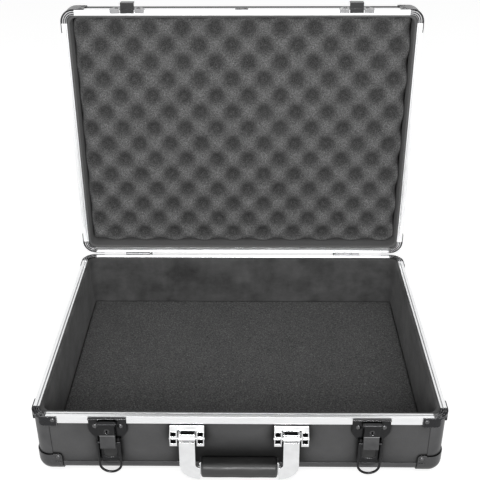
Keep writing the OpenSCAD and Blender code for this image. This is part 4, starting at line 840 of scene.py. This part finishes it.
def roundedRing(halfX, halfY, radius, steps):    # one closed row of points, from the +X side on
    points = []
    for cornerX, cornerY, start in ((1, 1, 0), (-1, 1, 90), (-1, -1, 180), (1, -1, 270)):
        centre = Vector((cornerX * (halfX - radius), cornerY * (halfY - radius)))
        for i in range(steps["corner"] + 1):
            a = math.radians(start + 90 * i / steps["corner"])
            points.append(centre + Vector((math.cos(a), math.sin(a))) * radius)
        count = steps["long"] if start in (0, 180) else steps["short"]
        nextX, nextY = {0: (-1, 1), 90: (-1, -1), 180: (1, -1), 270: (1, 1)}[start]
        turned = math.radians(start + 90)
        last = Vector((nextX * (halfX - radius), nextY * (halfY - radius))) + Vector(
            (math.cos(turned), math.sin(turned))) * radius
        first = points[-1]
        points += [first.lerp(last, (i + 1) / (count + 1)) for i in range(count)]
    return points


def addLining(name, p, steps, place, finish, node, body):
    shape = bmesh.new()
    loops = []
    for inset, height, radius, soft in p["rows"]:
        loop = []
        for q in roundedRing(shell["width"] / 2 - inset, shell["depth"] / 2 - inset, radius, steps):
            at = Vector((q.x * steps["waverAcross"], q.y * steps["waverAcross"],
                         height * steps["waverUp"] + p["seed"]))
            waver = noise.noise(at) * p["waver"] * soft
            outward = Vector((q.x, q.y, 0)).normalized()
            loop.append(shape.verts.new(Vector((q.x, q.y, height)) + outward * abs(waver)))
        loops.append(loop)
    closeLoops(shape, loops)
    piece = toPiece(shape, name, finish, place)
    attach(piece, body)
    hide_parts(node)


addLining("baseLining", baseLining, liningSteps, basePlace, finishes["basePlush"],
          "base_wall_lining", "base")
addLining("lidLining", lidLining, liningSteps, lidPlace, finishes["lidPlush"],
          "lid_wall_lining", "lid")
print("linings: base and lid")


# finger recess pressed into each latch plate, under the lever's ledge

latchScoop = {
    "middles": (-0.145, 0.145), "radius": 0.0094, "half": 0.0074, "narrowest": 0.0008, "top": 0.0428,
    "centre": 0.0330, "front": -0.1898, "deep": 0.0018, "lead": 0.15, "wall": 0.0002, "across": 14,
    "down": 12,
}


def addScoops(p):
    shape = bmesh.new()
    low = p["centre"] - p["radius"]
    for middle in p["middles"]:
        grid = []
        for j in range(p["down"] + 1):
            z = p["top"] + (low - p["top"]) * j / p["down"]
            below = min(z - p["centre"], 0)
            reach = math.sqrt(max(p["radius"] ** 2 - below ** 2, 0))
            half = max(min(p["half"], reach), p["narrowest"])
            ease = math.sin(math.pi * min(j / p["down"] + p["lead"], 1)) ** 0.5
            row = []
            for i in range(p["across"] + 1):
                u = -1 + 2 * i / p["across"]
                sink = p["deep"] * (1 - u * u) ** 0.5 * ease
                row.append(shape.verts.new((middle + u * half, p["front"] + sink, z)))
            grid.append(row)
        for j in range(p["down"]):
            for i in range(p["across"]):
                side = (grid[j][i], grid[j + 1][i], grid[j + 1][i + 1], grid[j][i + 1])
                shape.faces.new(side).smooth = True
    shape.normal_update()    # the wall's thickness follows the normals
    bmesh.ops.solidify(shape, geom=shape.faces[:], thickness=p["wall"])    # a back closes the dish
    bmesh.ops.recalc_face_normals(shape, faces=shape.faces[:])
    piece = toPiece(shape, "latchScoops", finishes["scoop"], Matrix.Identity(4))
    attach(piece, "base")


addScoops(latchScoop)
print("latches: finger recesses")


# the covered grip

gripPad = {
    "length": 0.0850, "deep": 0.0209, "tall": 0.0184, "lean": 6.0, "square": 3.3, "endRound": 0.0030,
    "boreRadius": 0.00330, "boreUp": 0.0048, "boreInset": 0.0002,
    "creaseDepth": 0.0006, "creaseAt": 28.0, "creaseWide": 9.0,    # degrees round the grip
    "unevenness": 0.00025, "unevenAlong": 60, "unevenAround": 1.3, "around": 72, "along": 64,
}


def addGrip(p):
    low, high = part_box("handle_grip")
    shape = bmesh.new()
    # sections closer together at the ends
    steps = [p["length"] / 2 * math.sin((i / p["along"] - 0.5) * math.pi) for i in range(p["along"] + 1)]
    angles = [2 * math.pi * j / p["around"] for j in range(p["around"])]
    loops = []
    for x in steps:
        k = min((p["length"] / 2 - abs(x)) / p["endRound"], 1.0)
        shrink = (1 - math.sqrt(max(1 - (1 - k) ** 2, 0))) * p["endRound"]
        ring = []
        for a in angles:
            c, s = math.cos(a), math.sin(a)
            reach = (abs(c) ** p["square"] + abs(s) ** p["square"]) ** (-1 / p["square"])
            away = abs((math.degrees(a) - (180 + p["creaseAt"]) + 180) % 360 - 180)
            crease = p["creaseDepth"] * math.exp(-(away / p["creaseWide"]) ** 2)
            at = Vector((x * p["unevenAlong"], c * p["unevenAround"], s * p["unevenAround"]))
            soft = p["unevenness"] * noise.noise(at)
            y = c * reach * (p["deep"] / 2 - shrink - crease) + c * soft
            z = s * reach * (p["tall"] / 2 - shrink - crease) + s * soft
            ring.append(shape.verts.new((x, y, z)))
        loops.append(ring)
    bore = [[shape.verts.new((x, p["boreRadius"] * math.cos(a), p["boreUp"] + p["boreRadius"] * math.sin(a)))
             for a in angles] for x in (steps[0] + p["boreInset"], steps[-1] - p["boreInset"])]
    closeLoops(shape, [bore[0]] + loops + [bore[1]])
    place = Matrix.Translation((low + high) / 2) @ Matrix.Rotation(-math.radians(p["lean"]), 4, "X")
    piece = toPiece(shape, "gripPad", finishes["grip"], place)
    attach(piece, "handle")
    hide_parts("handle_grip")


addGrip(gripPad)
print("grip: covered pad")
